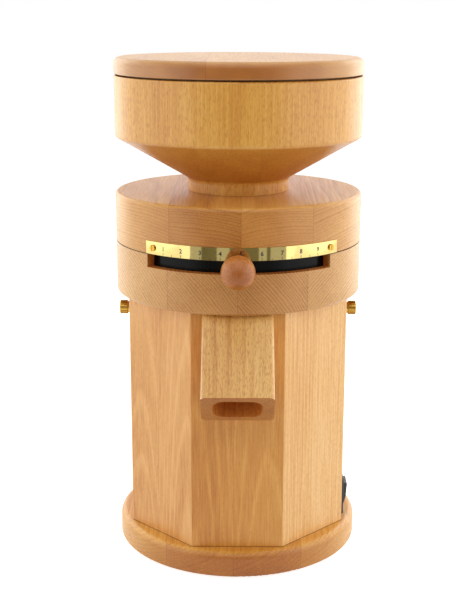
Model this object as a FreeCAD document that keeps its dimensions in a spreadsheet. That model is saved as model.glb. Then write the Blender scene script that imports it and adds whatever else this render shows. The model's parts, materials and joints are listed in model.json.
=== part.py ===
"""Household grain mill with millstones: an octagonal beech housing on a round base, a round two-layer
head with a fineness lever and brass scale, a turned hopper with a lid, and the motor inside.

Millimetres, +Z up, front at -Y. The origin lies on the mill's axis at the level of the table.
"""
import FreeCAD, Part
import math
import os
import re
import Sketcher

Vector = FreeCAD.Vector
Rotation = FreeCAD.Rotation
Placement = FreeCAD.Placement

SIDES = 8
FEET = 4
VENTS = 8
DOWELS = 6
GUIDE_PINS = 3
FLOOR_SCREWS = 3
MOTOR_BOLTS = 4
BEARING_BALLS = 8
FAN_BLADES = 7
FURROWS = 12

# Places and directions nearer than this are the same
SAME = 1e-4

DRIVING_SIZES = {
    # Base and feet
    "foot_height": 4.0,
    "foot_radius": 9.0,
    "foot_inset": 35.5,
    "foot_screw_radius": 2.0,
    "foot_screw_length": 14.0,
    "foot_head_radius": 4.0,
    "foot_head_height": 2.0,
    "foot_head_sink": 1.0,
    "base_overhang": 0.5,
    "base_thick": 21.5,
    "base_top_round": 6.0,
    "base_under_round": 2.0,
    "vent_radius": 6.0,
    "vent_circle": 40.0,
    "base_screw_radius": 2.0,
    "base_screw_grip": 25.0,
    "base_head_radius": 4.0,
    "base_head_height": 3.0,
    # Housing of mitred panels
    "panel_height": 203.5,
    "panel_thick": 17.0,
    "panel_edge": 0.6,
    # Milling chamber and stones
    "chamber_width": 11.0,
    "stator_thick": 16.0,
    "runner_thick": 17.4,
    "stone_gap": 0.6,
    "eye_radius": 19.0,
    "flare_radius": 36.0,
    "flare_depth": 7.0,
    "runner_bore": 12.0,
    "furrow_width": 5.0,
    "furrow_depth": 2.0,
    "furrow_start": 26.0,
    "furrow_offset": 10.0,
    "flange_radius": 30.0,
    "flange_thick": 4.0,
    "sweeper_width": 10.0,
    "sweeper_thick": 3.0,
    "sweeper_gap": 1.0,
    "sweeper_end_gap": 2.0,
    "boss_radius": 11.0,
    "boss_depth": 16.0,
    "hub_recess": 1.4,
    "washer_radius": 16.5,
    "washer_thick": 2.0,
    "bolt_radius": 3.0,
    "bolt_depth": 18.0,
    "bolt_head_radius": 6.5,
    "bolt_head_height": 4.5,
    "floor_gap": 0.4,
    "floor_bore": 20.0,
    "seal_height": 8.0,
    "seal_drop": 4.0,
    "seal_gap": 0.3,
    "deck_drop": 27.0,
    "deck_thick": 18.0,
    "deck_bore": 25.0,
    "floor_screw_inset": 8.0,
    "floor_screw_radius": 2.0,
    "floor_screw_grip": 12.0,
    "floor_head_radius": 4.0,
    "floor_head_height": 2.5,
    # Head
    "head_radius": 105.0,
    "head_overhang": 13.0,
    "head_gap": 0.2,
    "lower_height": 44.3,
    "upper_height": 41.5,
    "head_top_round": 3.5,
    "head_under_round": 3.0,
    "seam_round": 0.8,
    "spigot_wall": 8.4,
    "spigot_gap": 0.6,
    "spigot_depth": 26.6,
    "slot_wall": 7.4,
    "slot_height": 10.9,
    "slot_left": 44.1,
    "slot_right": 45.0,
    "dowel_radius": 2.0,
    "dowel_depth": 12.0,
    "dowel_spread": 36.0,
    "feed_step": 1.0,
    # Adjusting ring, lever and carrier
    "ring_tall": 28.0,
    "ring_lap": 5.7,
    "ring_gap": 0.3,
    "carrier_lip": 17.0,
    "carrier_rise": 11.0,
    "carrier_thick": 14.0,
    "thread_gap": 0.08,
    "pin_inset": 9.0,
    "pin_radius": 3.0,
    "pin_fit": 0.05,
    "pin_grip": 14.0,
    "pin_engage": 10.0,
    "lever_radius": 3.0,
    "lever_grip": 10.0,
    "ball_radius": 13.45,
    "ball_gap": 2.3,
    "ball_bore_depth": 11.0,
    # Scale
    "strip_height": 10.4,
    "strip_thick": 0.9,
    "strip_rise": 0.6,
    "strip_left": 44.2,
    "strip_right": 48.8,
    "strip_screw_inset": 4.2,
    "strip_screw_radius": 1.4,
    "strip_screw_grip": 5.0,
    "strip_head_radius": 2.6,
    "strip_head_height": 1.2,
    "strip_slot_width": 0.7,
    "strip_slot_depth": 0.6,
    # Hopper and lid
    "neck_radius": 43.0,
    "neck_height": 10.5,
    "neck_round": 4.0,
    "peg_shoulder": 8.0,
    "peg_depth": 12.0,
    "peg_gap": 0.3,
    "seat_gap": 0.2,
    "cone_height": 35.5,
    "hopper_inset": 0.5,
    "hopper_round": 4.0,
    "drum_height": 50.2,
    "hopper_wall": 11.5,
    "cone_wall": 11.0,
    "throat_radius": 16.0,
    "throat_rise": 2.0,
    "rim_wall": 7.5,
    "rim_round": 1.5,
    "rebate_depth": 6.2,
    "lid_gap": 1.0,
    "lid_inset": 0.4,
    "lid_thick": 13.8,
    "lid_round": 5.5,
    "lid_under_round": 1.5,
    "plug_gap": 0.4,
    # Spout
    "spout_width": 57.3,
    "spout_thick": 40.0,
    "spout_angle": 45.0,
    "spout_step": 5.0,
    "spout_reach": 57.0,
    "spout_gap": 0.4,
    "spout_round": 4.5,
    "channel_width": 39.0,
    "channel_height": 27.0,
    "channel_round": 9.5,
    "channel_wall": 6.9,
    "channel_run": 140.0,
    "spout_screw_side": 23.5,
    "spout_screw_drop": 42.0,
    "spout_screw_radius": 2.0,
    "spout_screw_grip": 9.0,
    "spout_head_radius": 3.8,
    "spout_head_height": 2.5,
    # Thumb screws
    "thumb_drop": 19.0,
    "knurl_radius": 6.1,
    "knurl_length": 7.0,
    "knurl_depth": 0.6,
    "knurl_pitch": 2.2,
    "knurl_edge": 0.5,
    "collar_radius": 5.0,
    "collar_length": 3.4,
    "shank_radius": 3.0,
    "shank_fit": 0.05,
    "tip_gap": 0.2,
    "insert_radius": 4.5,
    "insert_length": 15.0,
    "thumb_washer_radius": 5.4,
    "thumb_washer_thick": 1.0,
    # Motor
    "motor_radius": 52.0,
    "bell_plate": 8.0,
    "bell_depth": 26.0,
    "bell_wall": 7.0,
    "core_height": 48.0,
    "core_bore": 29.5,
    "air_gap": 0.5,
    "coil_height": 12.0,
    "coil_gap": 2.0,
    "coil_inner": 31.0,
    "shaft_radius": 6.0,
    "shaft_fit": 0.02,
    "bearing_radius": 16.0,
    "bearing_width": 10.0,
    "bearing_race": 3.2,
    "bearing_lip": 2.0,
    "lip_radius": 12.0,
    "bearing_wall": 5.0,
    "bearing_ball_radius": 1.75,
    "fan_gap": 4.0,
    "fan_radius": 44.0,
    "fan_plate": 2.0,
    "fan_height": 12.0,
    "fan_hub": 10.0,
    "blade_thick": 2.0,
    "shaft_tail": 2.0,
    "motor_bolt_radius": 2.0,
    "motor_bolt_grip": 12.0,
    "motor_head_radius": 3.5,
    "motor_head_height": 3.0,
    "terminal_width": 24.0,
    "terminal_depth": 10.0,
    "terminal_height": 14.0,
    # Switch
    "switch_inset": 18.11,
    "switch_level": 19.7,
    "bezel_width": 25.0,
    "bezel_height": 33.6,
    "bezel_thick": 2.0,
    "bezel_corner": 2.0,
    "bezel_edge": 0.6,
    "switch_width": 21.4,
    "switch_height": 29.6,
    "switch_depth": 25.0,
    "switch_gap": 0.3,
    "well_width": 17.0,
    "well_height": 27.6,
    "well_depth": 12.0,
    "rocker_gap": 0.3,
    "rocker_half": 12.4,
    "rocker_rise": 3.4,
    "rocker_ridge": 4.6,
    "rocker_edge": 4.0,
    "rocker_foot": 4.0,
    "rocker_round": 0.8,
    "rocker_tilt": 10.0,
    "pivot_drop": 4.0,
    "pivot_radius": 1.5,
    "pivot_fit": 0.05,
    "pivot_length": 1.2,
    # Appliance inlet
    "inlet_level": 62.0,
    "inlet_flange_width": 50.0,
    "inlet_flange_height": 26.0,
    "inlet_flange_thick": 3.0,
    "inlet_shell_width": 28.0,
    "inlet_shell_height": 21.0,
    "inlet_shell_depth": 22.0,
    "inlet_wall": 1.8,
    "inlet_back": 4.0,
    "inlet_gap": 0.3,
    "inlet_screw_side": 20.0,
    "inlet_screw_radius": 1.5,
    "inlet_screw_grip": 12.0,
    "inlet_head_radius": 2.9,
    "inlet_head_height": 1.8,
    "blade_width": 2.0,
    "blade_height": 4.0,
    "blade_length": 14.0,
    "blade_tail": 4.0,
    "blade_side": 7.0,
    "blade_step": 2.0,
    # Capacitor and leads
    "can_radius": 14.0,
    "can_length": 60.0,
    "can_gap": 0.4,
    "clamp_width": 12.0,
    "clamp_thick": 1.4,
    "clamp_foot": 12.0,
    "clamp_screw_radius": 1.6,
    "clamp_screw_grip": 9.0,
    "clamp_head_radius": 3.2,
    "clamp_head_height": 1.8,
    "lead_radius": 1.6,
    "lead_bend": 6.0,
    "lead_run": 12.0,
    "lead_spacing": 5.0,
    # How far cutting tools run past a face
    "cut_past": 1.0,
}

# Levels and radii worked out from the driving sizes
BASE_TOP = "(foot_height + base_thick)"
PANEL_TOP = f"({BASE_TOP} + panel_height)"
HEAD_UNDER = f"({PANEL_TOP} + head_gap)"
SEAM = f"({HEAD_UNDER} + lower_height)"
HEAD_TOP = f"({SEAM} + upper_height)"
SLOT_FLOOR = f"({SEAM} - slot_height)"
LEVER_LEVEL = f"({SLOT_FLOOR} + slot_height / 2)"
RING_SEAT = f"({SLOT_FLOOR} - ring_lap)"
RING_UNDER = f"({RING_SEAT} + ring_gap)"
RING_TOP = f"({RING_UNDER} + ring_tall)"
CAVITY_TOP = f"({RING_TOP} + ring_gap)"
CARRIER_UNDER = f"({RING_SEAT} + carrier_rise)"
CARRIER_TOP = f"({CARRIER_UNDER} + carrier_thick)"
STATOR_UNDER = f"({CARRIER_UNDER} - stator_thick)"
RUNNER_TOP = f"({STATOR_UNDER} - stone_gap)"
RUNNER_UNDER = f"({RUNNER_TOP} - runner_thick)"
FLANGE_UNDER = f"({RUNNER_UNDER} - flange_thick)"
SWEEPER_UNDER = f"({FLANGE_UNDER} - sweeper_thick)"
FLOOR_TOP = f"({SWEEPER_UNDER} - sweeper_gap)"
DECK_TOP = f"({PANEL_TOP} - deck_drop)"
DECK_UNDER = f"({DECK_TOP} - deck_thick)"
CORE_TOP = f"({DECK_UNDER} - bell_depth)"
CORE_UNDER = f"({CORE_TOP} - core_height)"
MOTOR_UNDER = f"({CORE_UNDER} - bell_depth)"
FAN_TOP = f"({MOTOR_UNDER} - fan_gap)"
FAN_UNDER = f"({FAN_TOP} - fan_height)"
NECK_TOP = f"({HEAD_TOP} + seat_gap + neck_height)"
CONE_TOP = f"({NECK_TOP} + cone_height)"
RIM_TOP = f"({CONE_TOP} + drum_height)"
LID_UNDER = f"({RIM_TOP} + lid_gap)"
BASE_RADIUS = "(head_radius + base_overhang)"
FOOT_CIRCLE = f"({BASE_RADIUS} - foot_inset)"
OUTER_FLAT = "(head_radius - head_overhang)"
INNER_FLAT = f"({OUTER_FLAT} - panel_thick)"
SPIGOT_RADIUS = f"({INNER_FLAT} - spigot_gap)"
CHAMBER_RADIUS = f"({SPIGOT_RADIUS} - spigot_wall)"
STONE_RADIUS = f"({CHAMBER_RADIUS} - chamber_width)"
FLOOR_SCREW_CIRCLE = f"({CHAMBER_RADIUS} - floor_screw_inset)"
CARRIER_RADIUS = f"({STONE_RADIUS} + carrier_lip)"
PIN_CIRCLE = f"({CARRIER_RADIUS} - pin_inset)"
CAVITY_RADIUS = "(head_radius - slot_wall)"
RING_RADIUS = f"({CAVITY_RADIUS} - ring_gap)"
HOPPER_RADIUS = "(head_radius - hopper_inset)"
LID_RADIUS = "(head_radius - lid_inset)"
PEG_RADIUS = "(neck_radius - peg_shoulder)"
THUMB_LEVEL = f"({PANEL_TOP} - thumb_drop)"
SWITCH_LEVEL = f"({BASE_TOP} + switch_level)"
HALF_SIDE_ANGLE = 180 / SIDES
HALF_SIDE = f"({OUTER_FLAT} * tan({HALF_SIDE_ANGLE}))"
SWITCH_SIDE = f"({HALF_SIDE} - switch_inset)"

DIRECTIONS = {
    "+x": Vector(1, 0, 0),
    "-x": Vector(-1, 0, 0),
    "+y": Vector(0, 1, 0),
    "-y": Vector(0, -1, 0),
    "+z": Vector(0, 0, 1),
    "-z": Vector(0, 0, -1),
}

CELLS = {alias: f"Dims.{alias}" for alias in DRIVING_SIZES}

doc = FreeCAD.newDocument("grain_mill")
dims = doc.addObject("Spreadsheet::Sheet", "Dims")
for row, (alias, size) in enumerate(DRIVING_SIZES.items(), start=1):
    dims.set(f"A{row}", alias)
    dims.set(f"B{row}", str(size))
    dims.setAlias(f"B{row}", alias)
doc.recompute()


def formula(text):
    """A size formula with every alias pointed at the sheet."""
    return re.sub(r"[a-z]\w*", lambda word: CELLS.get(word[0], word[0]), text)


def size_of(text):
    """The present value of a size formula."""
    return float(dims.evalExpression(formula(text)))


def bind(thing, **properties):
    """Ties properties of a document object to size formulas."""
    for name, text in properties.items():
        thing.setExpression(name, formula(text))


def place(thing, x="0", y="0", z="0", rotation=Rotation()):
    """Puts an object at a place given by formulas, turned by a fixed rotation."""
    thing.Placement = Placement(Vector(size_of(x), size_of(y), size_of(z)), rotation)
    for axis, text in zip("xyz", (x, y, z)):
        thing.setExpression(f"Placement.Base.{axis}", formula(text))
    return thing


def turned_about_z(degrees):
    """A turn about the mill's axis; zero is the front and positive goes to the right."""
    return Rotation(Vector(0, 0, 1), degrees)


def box(label, x, y, z):
    """A block, with a (start, size) pair of formulas along each axis."""
    thing = doc.addObject("Part::Box", label)
    bind(thing, Length=x[1], Width=y[1], Height=z[1])
    return place(thing, x[0], y[0], z[0])


def centred(middle, size):
    """A (start, size) pair for a length centred on a place."""
    return f"{middle} - {size} / 2", size


def rod(label, radius, length, x="0", y="0", z="0", along="+z"):
    """A round rod that starts at a point and runs along one axis."""
    thing = doc.addObject("Part::Cylinder", label)
    bind(thing, Radius=radius, Height=length)
    return place(thing, x, y, z, Rotation(DIRECTIONS["+z"], DIRECTIONS[along]))


def cut(label, base, *tools):
    """A piece less one or more tools."""
    thing = doc.addObject("Part::Cut", label)
    thing.Base = base
    thing.Tool = tools[0] if len(tools) == 1 else joined(f"{label}_tools", *tools)
    return thing


def joined(label, *pieces):
    """Pieces fused into one solid."""
    thing = doc.addObject("Part::MultiFuse", label)
    thing.Shapes = list(pieces)
    thing.Refine = True
    return thing


def group(label, pieces):
    """Separate solids kept together under one name."""
    thing = doc.addObject("Part::Compound", label)
    thing.Links = list(pieces)
    return thing


def copy_turned(piece, label, degrees):
    """One copy of a piece, turned about the mill's axis."""
    copy = doc.addObject("App::Link", label)
    copy.LinkedObject = piece
    copy.LinkTransform = True
    copy.Placement = Placement(Vector(), turned_about_z(degrees))
    return copy


def ring_of(label, piece, count, start=0.0):
    """Copies of a piece spread evenly about the mill's axis."""
    return group(label, [
        copy_turned(piece, f"{label}_{step}", start + step * 360 / count) for step in range(count)
    ])


def origin_feature(body, role):
    """An origin plane or axis of a body, found by its role."""
    return next(feature for feature in body.Origin.OriginFeatures if feature.Role == role)


def new_body(label):
    """An empty body."""
    return doc.addObject("PartDesign::Body", label)


def new_sketch(body, plane):
    """An empty sketch on one of the body's own origin planes."""
    sketch = body.newObject("Sketcher::SketchObject", f"{body.Name}_sketch")
    sketch.AttachmentSupport = [(origin_feature(body, plane), "")]
    sketch.MapMode = "FlatFace"
    return sketch


def hold(sketch, kind, text, *references):
    """A sketch constraint tied to a formula."""
    index = sketch.addConstraint(Sketcher.Constraint(kind, *references, size_of(text)))
    sketch.setExpression(f"Constraints[{index}]", formula(text))


def polygon(body, plane, points):
    """A closed sketch of straight lines with both coordinates of every corner tied to formulas."""
    sketch = new_sketch(body, plane)
    corners = [Vector(size_of(u), size_of(v), 0) for u, v in points]
    count = len(corners)
    for index in range(count):
        sketch.addGeometry(Part.LineSegment(corners[index], corners[(index + 1) % count]), False)
    for index in range(count):
        sketch.addConstraint(Sketcher.Constraint("Coincident", index, 2, (index + 1) % count, 1))
    for index, (u, v) in enumerate(points):
        hold(sketch, "DistanceX", u, -1, 1, index, 1)
        hold(sketch, "DistanceY", v, -1, 1, index, 1)
    return sketch


def turned(label, profile, sweep=None):
    """A body turned about Z from a profile of (radius, level) corners, whole or centred on the front."""
    body = new_body(label)
    feature = body.newObject("PartDesign::Revolution", f"{label}_turn")
    feature.Profile = polygon(body, "XZ_Plane", profile)
    feature.ReferenceAxis = (feature.Profile[0], ["V_Axis"])
    feature.Angle = 360
    if sweep:
        feature.Midplane = True
        bind(feature, Angle=sweep)
    doc.recompute()
    return body


def extruded(label, plane, profile, thickness):
    """A body pushed out to both sides of one of its origin planes."""
    body = new_body(label)
    feature = body.newObject("PartDesign::Pad", f"{label}_pad")
    feature.Profile = polygon(body, plane, profile)
    feature.Midplane = True
    bind(feature, Length=thickness)
    doc.recompute()
    return body


def round_edges(body, size, chosen):
    """Rounds the edges of a body that a test picks."""
    base = body.Tip
    names = [f"Edge{index}" for index, edge in enumerate(base.Shape.Edges, start=1) if chosen(edge)]
    feature = body.newObject("PartDesign::Fillet", f"{body.Name}_round")
    feature.Base = (base, names)
    bind(feature, Radius=size)
    doc.recompute()


def runs_along(edge, direction):
    """True on a straight edge parallel to a direction."""
    if not isinstance(edge.Curve, Part.Line):
        return False
    along = edge.Vertexes[1].Point - edge.Vertexes[0].Point
    return abs(abs(along.normalize().dot(direction)) - 1) < SAME


def round_rim(body, size, radius, level):
    """Rounds the circular edge of a turned body at a radius and level."""
    wanted_radius = size_of(radius)
    wanted_level = size_of(level)

    def is_rim(edge):
        """True on the wanted circle."""
        if not isinstance(edge.Curve, Part.Circle):
            return False
        same_level = abs(edge.Curve.Center.z - wanted_level) < SAME
        return same_level and abs(edge.Curve.Radius - wanted_radius) < SAME

    round_edges(body, size, is_rim)


def ring_profile(inner, outer, under, top):
    """The four corners of a ring's section."""
    return [(inner, under), (outer, under), (outer, top), (inner, top)]


def screw(label, radius, length, head_radius, head_height, x, y, z, along):
    """A plain screw: shank from its seat inwards and a round head behind the seat."""
    opposite = along.replace("+", "#").replace("-", "+").replace("#", "-")
    shank = rod(f"{label}_shank", radius, length, x, y, z, along)
    head = rod(f"{label}_head", head_radius, head_height, x, y, z, opposite)
    return joined(label, shank, head)


def base_and_feet():
    """Round base plate with vents, rubber feet, and the screws that hold feet and panels."""
    plate = turned("base_blank", [
        ("0", "foot_height"),
        (BASE_RADIUS, "foot_height"),
        (BASE_RADIUS, BASE_TOP),
        ("0", BASE_TOP),
    ])
    round_rim(plate, "base_top_round", BASE_RADIUS, BASE_TOP)
    round_rim(plate, "base_under_round", BASE_RADIUS, "foot_height")

    vent = rod("vent_tool", "vent_radius", "base_thick + 2 * cut_past", y="-vent_circle",
               z="foot_height - cut_past")
    foot_blank = rod("foot_blank", "foot_radius", "foot_height", y=f"-{FOOT_CIRCLE}")
    foot_screw = screw("foot_screw", "foot_screw_radius", "foot_screw_length", "foot_head_radius",
                       "foot_head_height", "0", f"-{FOOT_CIRCLE}", "foot_head_height + foot_head_sink", "+z")
    half_turn = 360 / FEET / 2
    feet = ring_of("rubber_feet", cut("foot", foot_blank, foot_well()), FEET, half_turn)
    foot_screws = ring_of("foot_screws", foot_screw, FEET, half_turn)

    seat = f"-({OUTER_FLAT} - panel_thick / 2)"
    panel_screw = screw("panel_screw", "base_screw_radius", "base_thick - base_head_height + base_screw_grip",
                        "base_head_radius", "base_head_height", "0", seat,
                        "foot_height + base_head_height", "+z")
    panel_screws = ring_of("panel_screws", panel_screw, SIDES)
    base_screws = group("base_screws", [foot_screws, panel_screws])
    clamp_screw = clamp_fastener()
    holes = [ring_of("vents", vent, VENTS, 180 / VENTS), base_screws, clamp_screw]
    base = cut("base_plate", plate, group("base_holes", holes))
    return [base, feet, base_screws], panel_screws, clamp_screw


def foot_well():
    """The stepped hole through a foot for its screw."""
    bore = rod("foot_bore", "foot_screw_radius", "foot_height", y=f"-{FOOT_CIRCLE}")
    well = rod("foot_recess", "foot_head_radius", "foot_head_height + foot_head_sink", y=f"-{FOOT_CIRCLE}")
    return joined("foot_well", bore, well)


def grain_channel():
    """The slanted hole with rounded corners from the milling chamber out through the spout."""
    body = new_body("channel_tool")
    feature = body.newObject("PartDesign::Pad", "channel_pad")
    feature.Profile = polygon(body, "XY_Plane", [
        ("0 - channel_width / 2", "0 - channel_height / 2"),
        ("channel_width / 2", "0 - channel_height / 2"),
        ("channel_width / 2", "channel_height / 2"),
        ("0 - channel_width / 2", "channel_height / 2"),
    ])
    bind(feature, Length="channel_run")
    doc.recompute()
    round_edges(body, "channel_round", lambda edge: runs_along(edge, Vector(0, 0, 1)))
    drop = "(channel_wall + channel_height / 2)"
    lip_y, lip_z = spout_lip()
    body.Placement.Rotation = Rotation(Vector(-1, 0, 0), size_of("spout_angle"))
    bind(body, **{
        "Placement.Base.y": f"{lip_y} + {drop} * cos(spout_angle) - cut_past * sin(spout_angle)",
        "Placement.Base.z": f"{lip_z} - {drop} * sin(spout_angle) - cut_past * cos(spout_angle)",
        "Placement.Rotation.Angle": "spout_angle",
    })
    return body


def spout_lip():
    """The front top edge of the spout's mouth, as y and z."""
    lip_y = f"(0 - {OUTER_FLAT} - spout_reach)"
    lip_z = f"({PANEL_TOP} - spout_gap - (spout_reach - spout_step) / tan(spout_angle))"
    return lip_y, lip_z


def spout(channel):
    """Slanted beech spout on the front panel, and the screws that hold it from inside."""
    lip_y, lip_z = spout_lip()
    face = f"(0 - {OUTER_FLAT})"
    top = f"({PANEL_TOP} - spout_gap)"
    under_y = f"({lip_y} + spout_thick * cos(spout_angle))"
    under_z = f"({lip_z} - spout_thick * sin(spout_angle))"
    block = extruded("spout_blank", "YZ_Plane", [
        (face, top),
        (f"{face} - spout_step", top),
        (lip_y, lip_z),
        (under_y, under_z),
        (face, f"{under_z} + ({face} - {under_y}) / tan(spout_angle)"),
    ], "spout_width")
    slope = Vector(0, size_of("sin(spout_angle)"), size_of("cos(spout_angle)"))
    round_edges(block, "spout_round", lambda edge: runs_along(edge, slope))
    fasteners = []
    for side, sign in (("left", "-"), ("right", "")):
        inside = f"(0 - {INNER_FLAT} - spout_head_height)"
        fasteners.append(screw(f"spout_screw_{side}", "spout_screw_radius",
                               "panel_thick - spout_head_height + spout_screw_grip", "spout_head_radius",
                               "spout_head_height", f"{sign}spout_screw_side", inside,
                               f"{PANEL_TOP} - spout_screw_drop", "-y"))
    screws = group("spout_screws", fasteners)
    return cut("spout", block, channel, screws), screws


def panel_blank(name, degrees):
    """One mitred panel of the octagon, with its sharp outer corners planed to half of a narrow flat."""
    sine = f"sin({HALF_SIDE_ANGLE})"
    cosine = f"cos({HALF_SIDE_ANGLE})"
    flat_x = f"({HALF_SIDE} - panel_edge)"
    mitre_x = f"({HALF_SIDE} - panel_edge * {sine} * {sine})"
    mitre_y = f"-({OUTER_FLAT} - panel_edge * {sine} * {cosine})"
    inner = f"({INNER_FLAT} * tan({HALF_SIDE_ANGLE}))"
    body = new_body(name)
    feature = body.newObject("PartDesign::Pad", f"{name}_pad")
    feature.Profile = polygon(body, "XY_Plane", [
        (f"-{flat_x}", f"-{OUTER_FLAT}"),
        (flat_x, f"-{OUTER_FLAT}"),
        (mitre_x, mitre_y),
        (inner, f"-{INNER_FLAT}"),
        (f"-{inner}", f"-{INNER_FLAT}"),
        (f"-{mitre_x}", mitre_y),
    ])
    bind(feature, Length="panel_height")
    return place(body, z=BASE_TOP, rotation=turned_about_z(degrees))


def panels(panel_screws, openings):
    """The eight panels, each cut for its screw and for what passes through it."""
    names = ["front", "front_right", "right", "rear_right", "rear", "rear_left", "left", "front_left"]
    pieces = []
    for step, name in enumerate(names):
        blank = panel_blank(f"{name}_blank", step * 360 / SIDES)
        cuts = group(f"{name}_cuts", [panel_screws, *openings.get(name, [])])
        pieces.append(cut(f"panel_{name}", blank, cuts))
    return pieces


def deck_and_floor(channel, motor_bolts):
    """Octagonal motor deck, round chamber floor on it, its screws and the felt seal round the hub."""
    corner = f"({INNER_FLAT} / cos({HALF_SIDE_ANGLE}))"
    deck_body = new_body("deck_blank")
    feature = deck_body.newObject("PartDesign::Pad", "deck_pad")
    angles = [HALF_SIDE_ANGLE + step * 360 / SIDES for step in range(SIDES)]
    corners = [(f"{corner} * cos({angle})", f"{corner} * sin({angle})") for angle in angles]
    feature.Profile = polygon(deck_body, "XY_Plane", corners)
    bind(feature, Length="deck_thick")
    place(deck_body, z=DECK_UNDER)
    bore = rod("deck_hole", "deck_bore", "deck_thick + 2 * cut_past", z=f"{DECK_UNDER} - cut_past")
    one_screw = screw("floor_screw", "floor_screw_radius",
                      "deck_thick - floor_head_height + floor_screw_grip",
                      "floor_head_radius", "floor_head_height", "0", f"-{FLOOR_SCREW_CIRCLE}",
                      f"{DECK_UNDER} + floor_head_height", "+z")
    floor_screws = ring_of("floor_screws", one_screw, FLOOR_SCREWS, 180 / FLOOR_SCREWS)
    deck = cut("motor_deck", deck_body, bore, floor_screws, motor_bolts)

    floor_blank = turned("floor_blank", ring_profile(
        "floor_bore", f"{CHAMBER_RADIUS} - floor_gap", DECK_TOP, FLOOR_TOP))
    floor = cut("chamber_floor", floor_blank, channel, floor_screws)
    seal_top = f"({FLOOR_TOP} - seal_drop)"
    seal = turned("shaft_seal", ring_profile(
        "boss_radius + seal_gap", "floor_bore", f"{seal_top} - seal_height", seal_top))
    return [deck, floor, floor_screws, seal]


def head(channel):
    """Lower ring with spigot and lever slot, upper disc with hopper socket, and their dowels."""
    spigot_under = f"({HEAD_UNDER} - spigot_depth)"
    ring = turned("lower_ring_blank", [
        (CHAMBER_RADIUS, spigot_under),
        (SPIGOT_RADIUS, spigot_under),
        (SPIGOT_RADIUS, HEAD_UNDER),
        ("head_radius", HEAD_UNDER),
        ("head_radius", SEAM),
        (CAVITY_RADIUS, SEAM),
        (CAVITY_RADIUS, RING_SEAT),
        (CHAMBER_RADIUS, RING_SEAT),
    ])
    round_rim(ring, "head_under_round", "head_radius", HEAD_UNDER)
    round_rim(ring, "seam_round", "head_radius", SEAM)
    slot_section = ring_profile(f"{CAVITY_RADIUS} - cut_past", "head_radius + cut_past", SLOT_FLOOR,
                                f"{SEAM} + cut_past")
    slot = turned("slot_tool", slot_section, "slot_left + slot_right")
    face_front(slot, "slot_left", "slot_right")
    notch = box("spigot_notch", centred("0", "channel_width"),
                (f"-{SPIGOT_RADIUS} - cut_past", "spigot_wall * 2"),
                (f"{spigot_under} - cut_past", "channel_height / 2"))
    dowel = rod("dowel", "dowel_radius", "2 * dowel_depth", y=f"{CAVITY_RADIUS} + slot_wall / 2",
                z=f"{SEAM} - dowel_depth")
    spread = size_of("dowel_spread")
    dowels = group("head_dowels", [
        copy_turned(dowel, f"dowel_{step}", spread * (step - (DOWELS - 1) / 2)) for step in range(DOWELS)
    ])
    lower = cut("head_lower_ring", ring, slot, channel, notch, dowels)

    socket_under = f"({HEAD_TOP} - peg_depth - seat_gap)"
    socket_radius = f"({PEG_RADIUS} + peg_gap)"
    disc = turned("upper_disc_blank", [
        ("throat_radius + feed_step", CAVITY_TOP),
        (CAVITY_RADIUS, CAVITY_TOP),
        (CAVITY_RADIUS, SEAM),
        ("head_radius", SEAM),
        ("head_radius", HEAD_TOP),
        (socket_radius, HEAD_TOP),
        (socket_radius, socket_under),
        ("throat_radius + feed_step", socket_under),
    ])
    round_rim(disc, "head_top_round", "head_radius", HEAD_TOP)
    round_rim(disc, "seam_round", "head_radius", SEAM)
    pin = rod("guide_pin", "pin_radius", f"{CAVITY_TOP} + pin_grip - ({CARRIER_TOP} - pin_engage)",
              y=PIN_CIRCLE, z=f"{CARRIER_TOP} - pin_engage")
    pins = ring_of("guide_pins", pin, GUIDE_PINS)
    strip, strip_screws = scale()
    upper = cut("head_upper_disc", disc, group("disc_holes", [dowels, pins, strip_screws]))
    return [lower, upper, dowels, pins, strip, strip_screws]


def face_front(body, left, right):
    """Turns a body centred on +X so that it spans from left to right of the front."""
    body.Placement.Rotation = Rotation(Vector(0, 0, -1), size_of(f"90 + ({left} - {right}) / 2"))
    bind(body, **{"Placement.Rotation.Angle": f"90 + ({left} - {right}) / 2"})


def scale():
    """Curved brass strip above the slot and its two slotted screws."""
    under = f"({SEAM} + strip_rise)"
    outer = "(head_radius + strip_thick)"
    section = ring_profile("head_radius", outer, under, f"{under} + strip_height")
    strip = turned("strip_blank", section, "strip_left + strip_right")
    face_front(strip, "strip_left", "strip_right")
    level = f"({under} + strip_height / 2)"
    shank = rod("strip_shank", "strip_screw_radius", "strip_thick + strip_screw_grip",
                y=f"-{outer}", z=level, along="+y")
    head_disc = rod("strip_head", "strip_head_radius", "strip_head_height",
                    y=f"-{outer}", z=level, along="-y")
    slot = box("strip_slot", centred("0", "strip_slot_width"),
               (f"-{outer} - strip_head_height - cut_past", "strip_slot_depth + cut_past"),
               centred(level, "(2 * strip_head_radius + cut_past)"))
    one = cut("strip_screw", joined("strip_screw_blank", shank, head_disc), slot)
    screws = []
    for side, axis, edge in (("left", -1, "strip_left"), ("right", 1, "strip_right")):
        copy = doc.addObject("Part::Compound", f"strip_screw_{side}")
        copy.Links = [one]
        turn = f"{edge} - strip_screw_inset"
        copy.Placement.Rotation = Rotation(Vector(0, 0, axis), size_of(turn))
        bind(copy, **{"Placement.Rotation.Angle": turn})
        screws.append(copy)
    strip_screws = group("scale_screws", screws)
    return cut("scale_strip", strip, strip_screws), strip_screws


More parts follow.
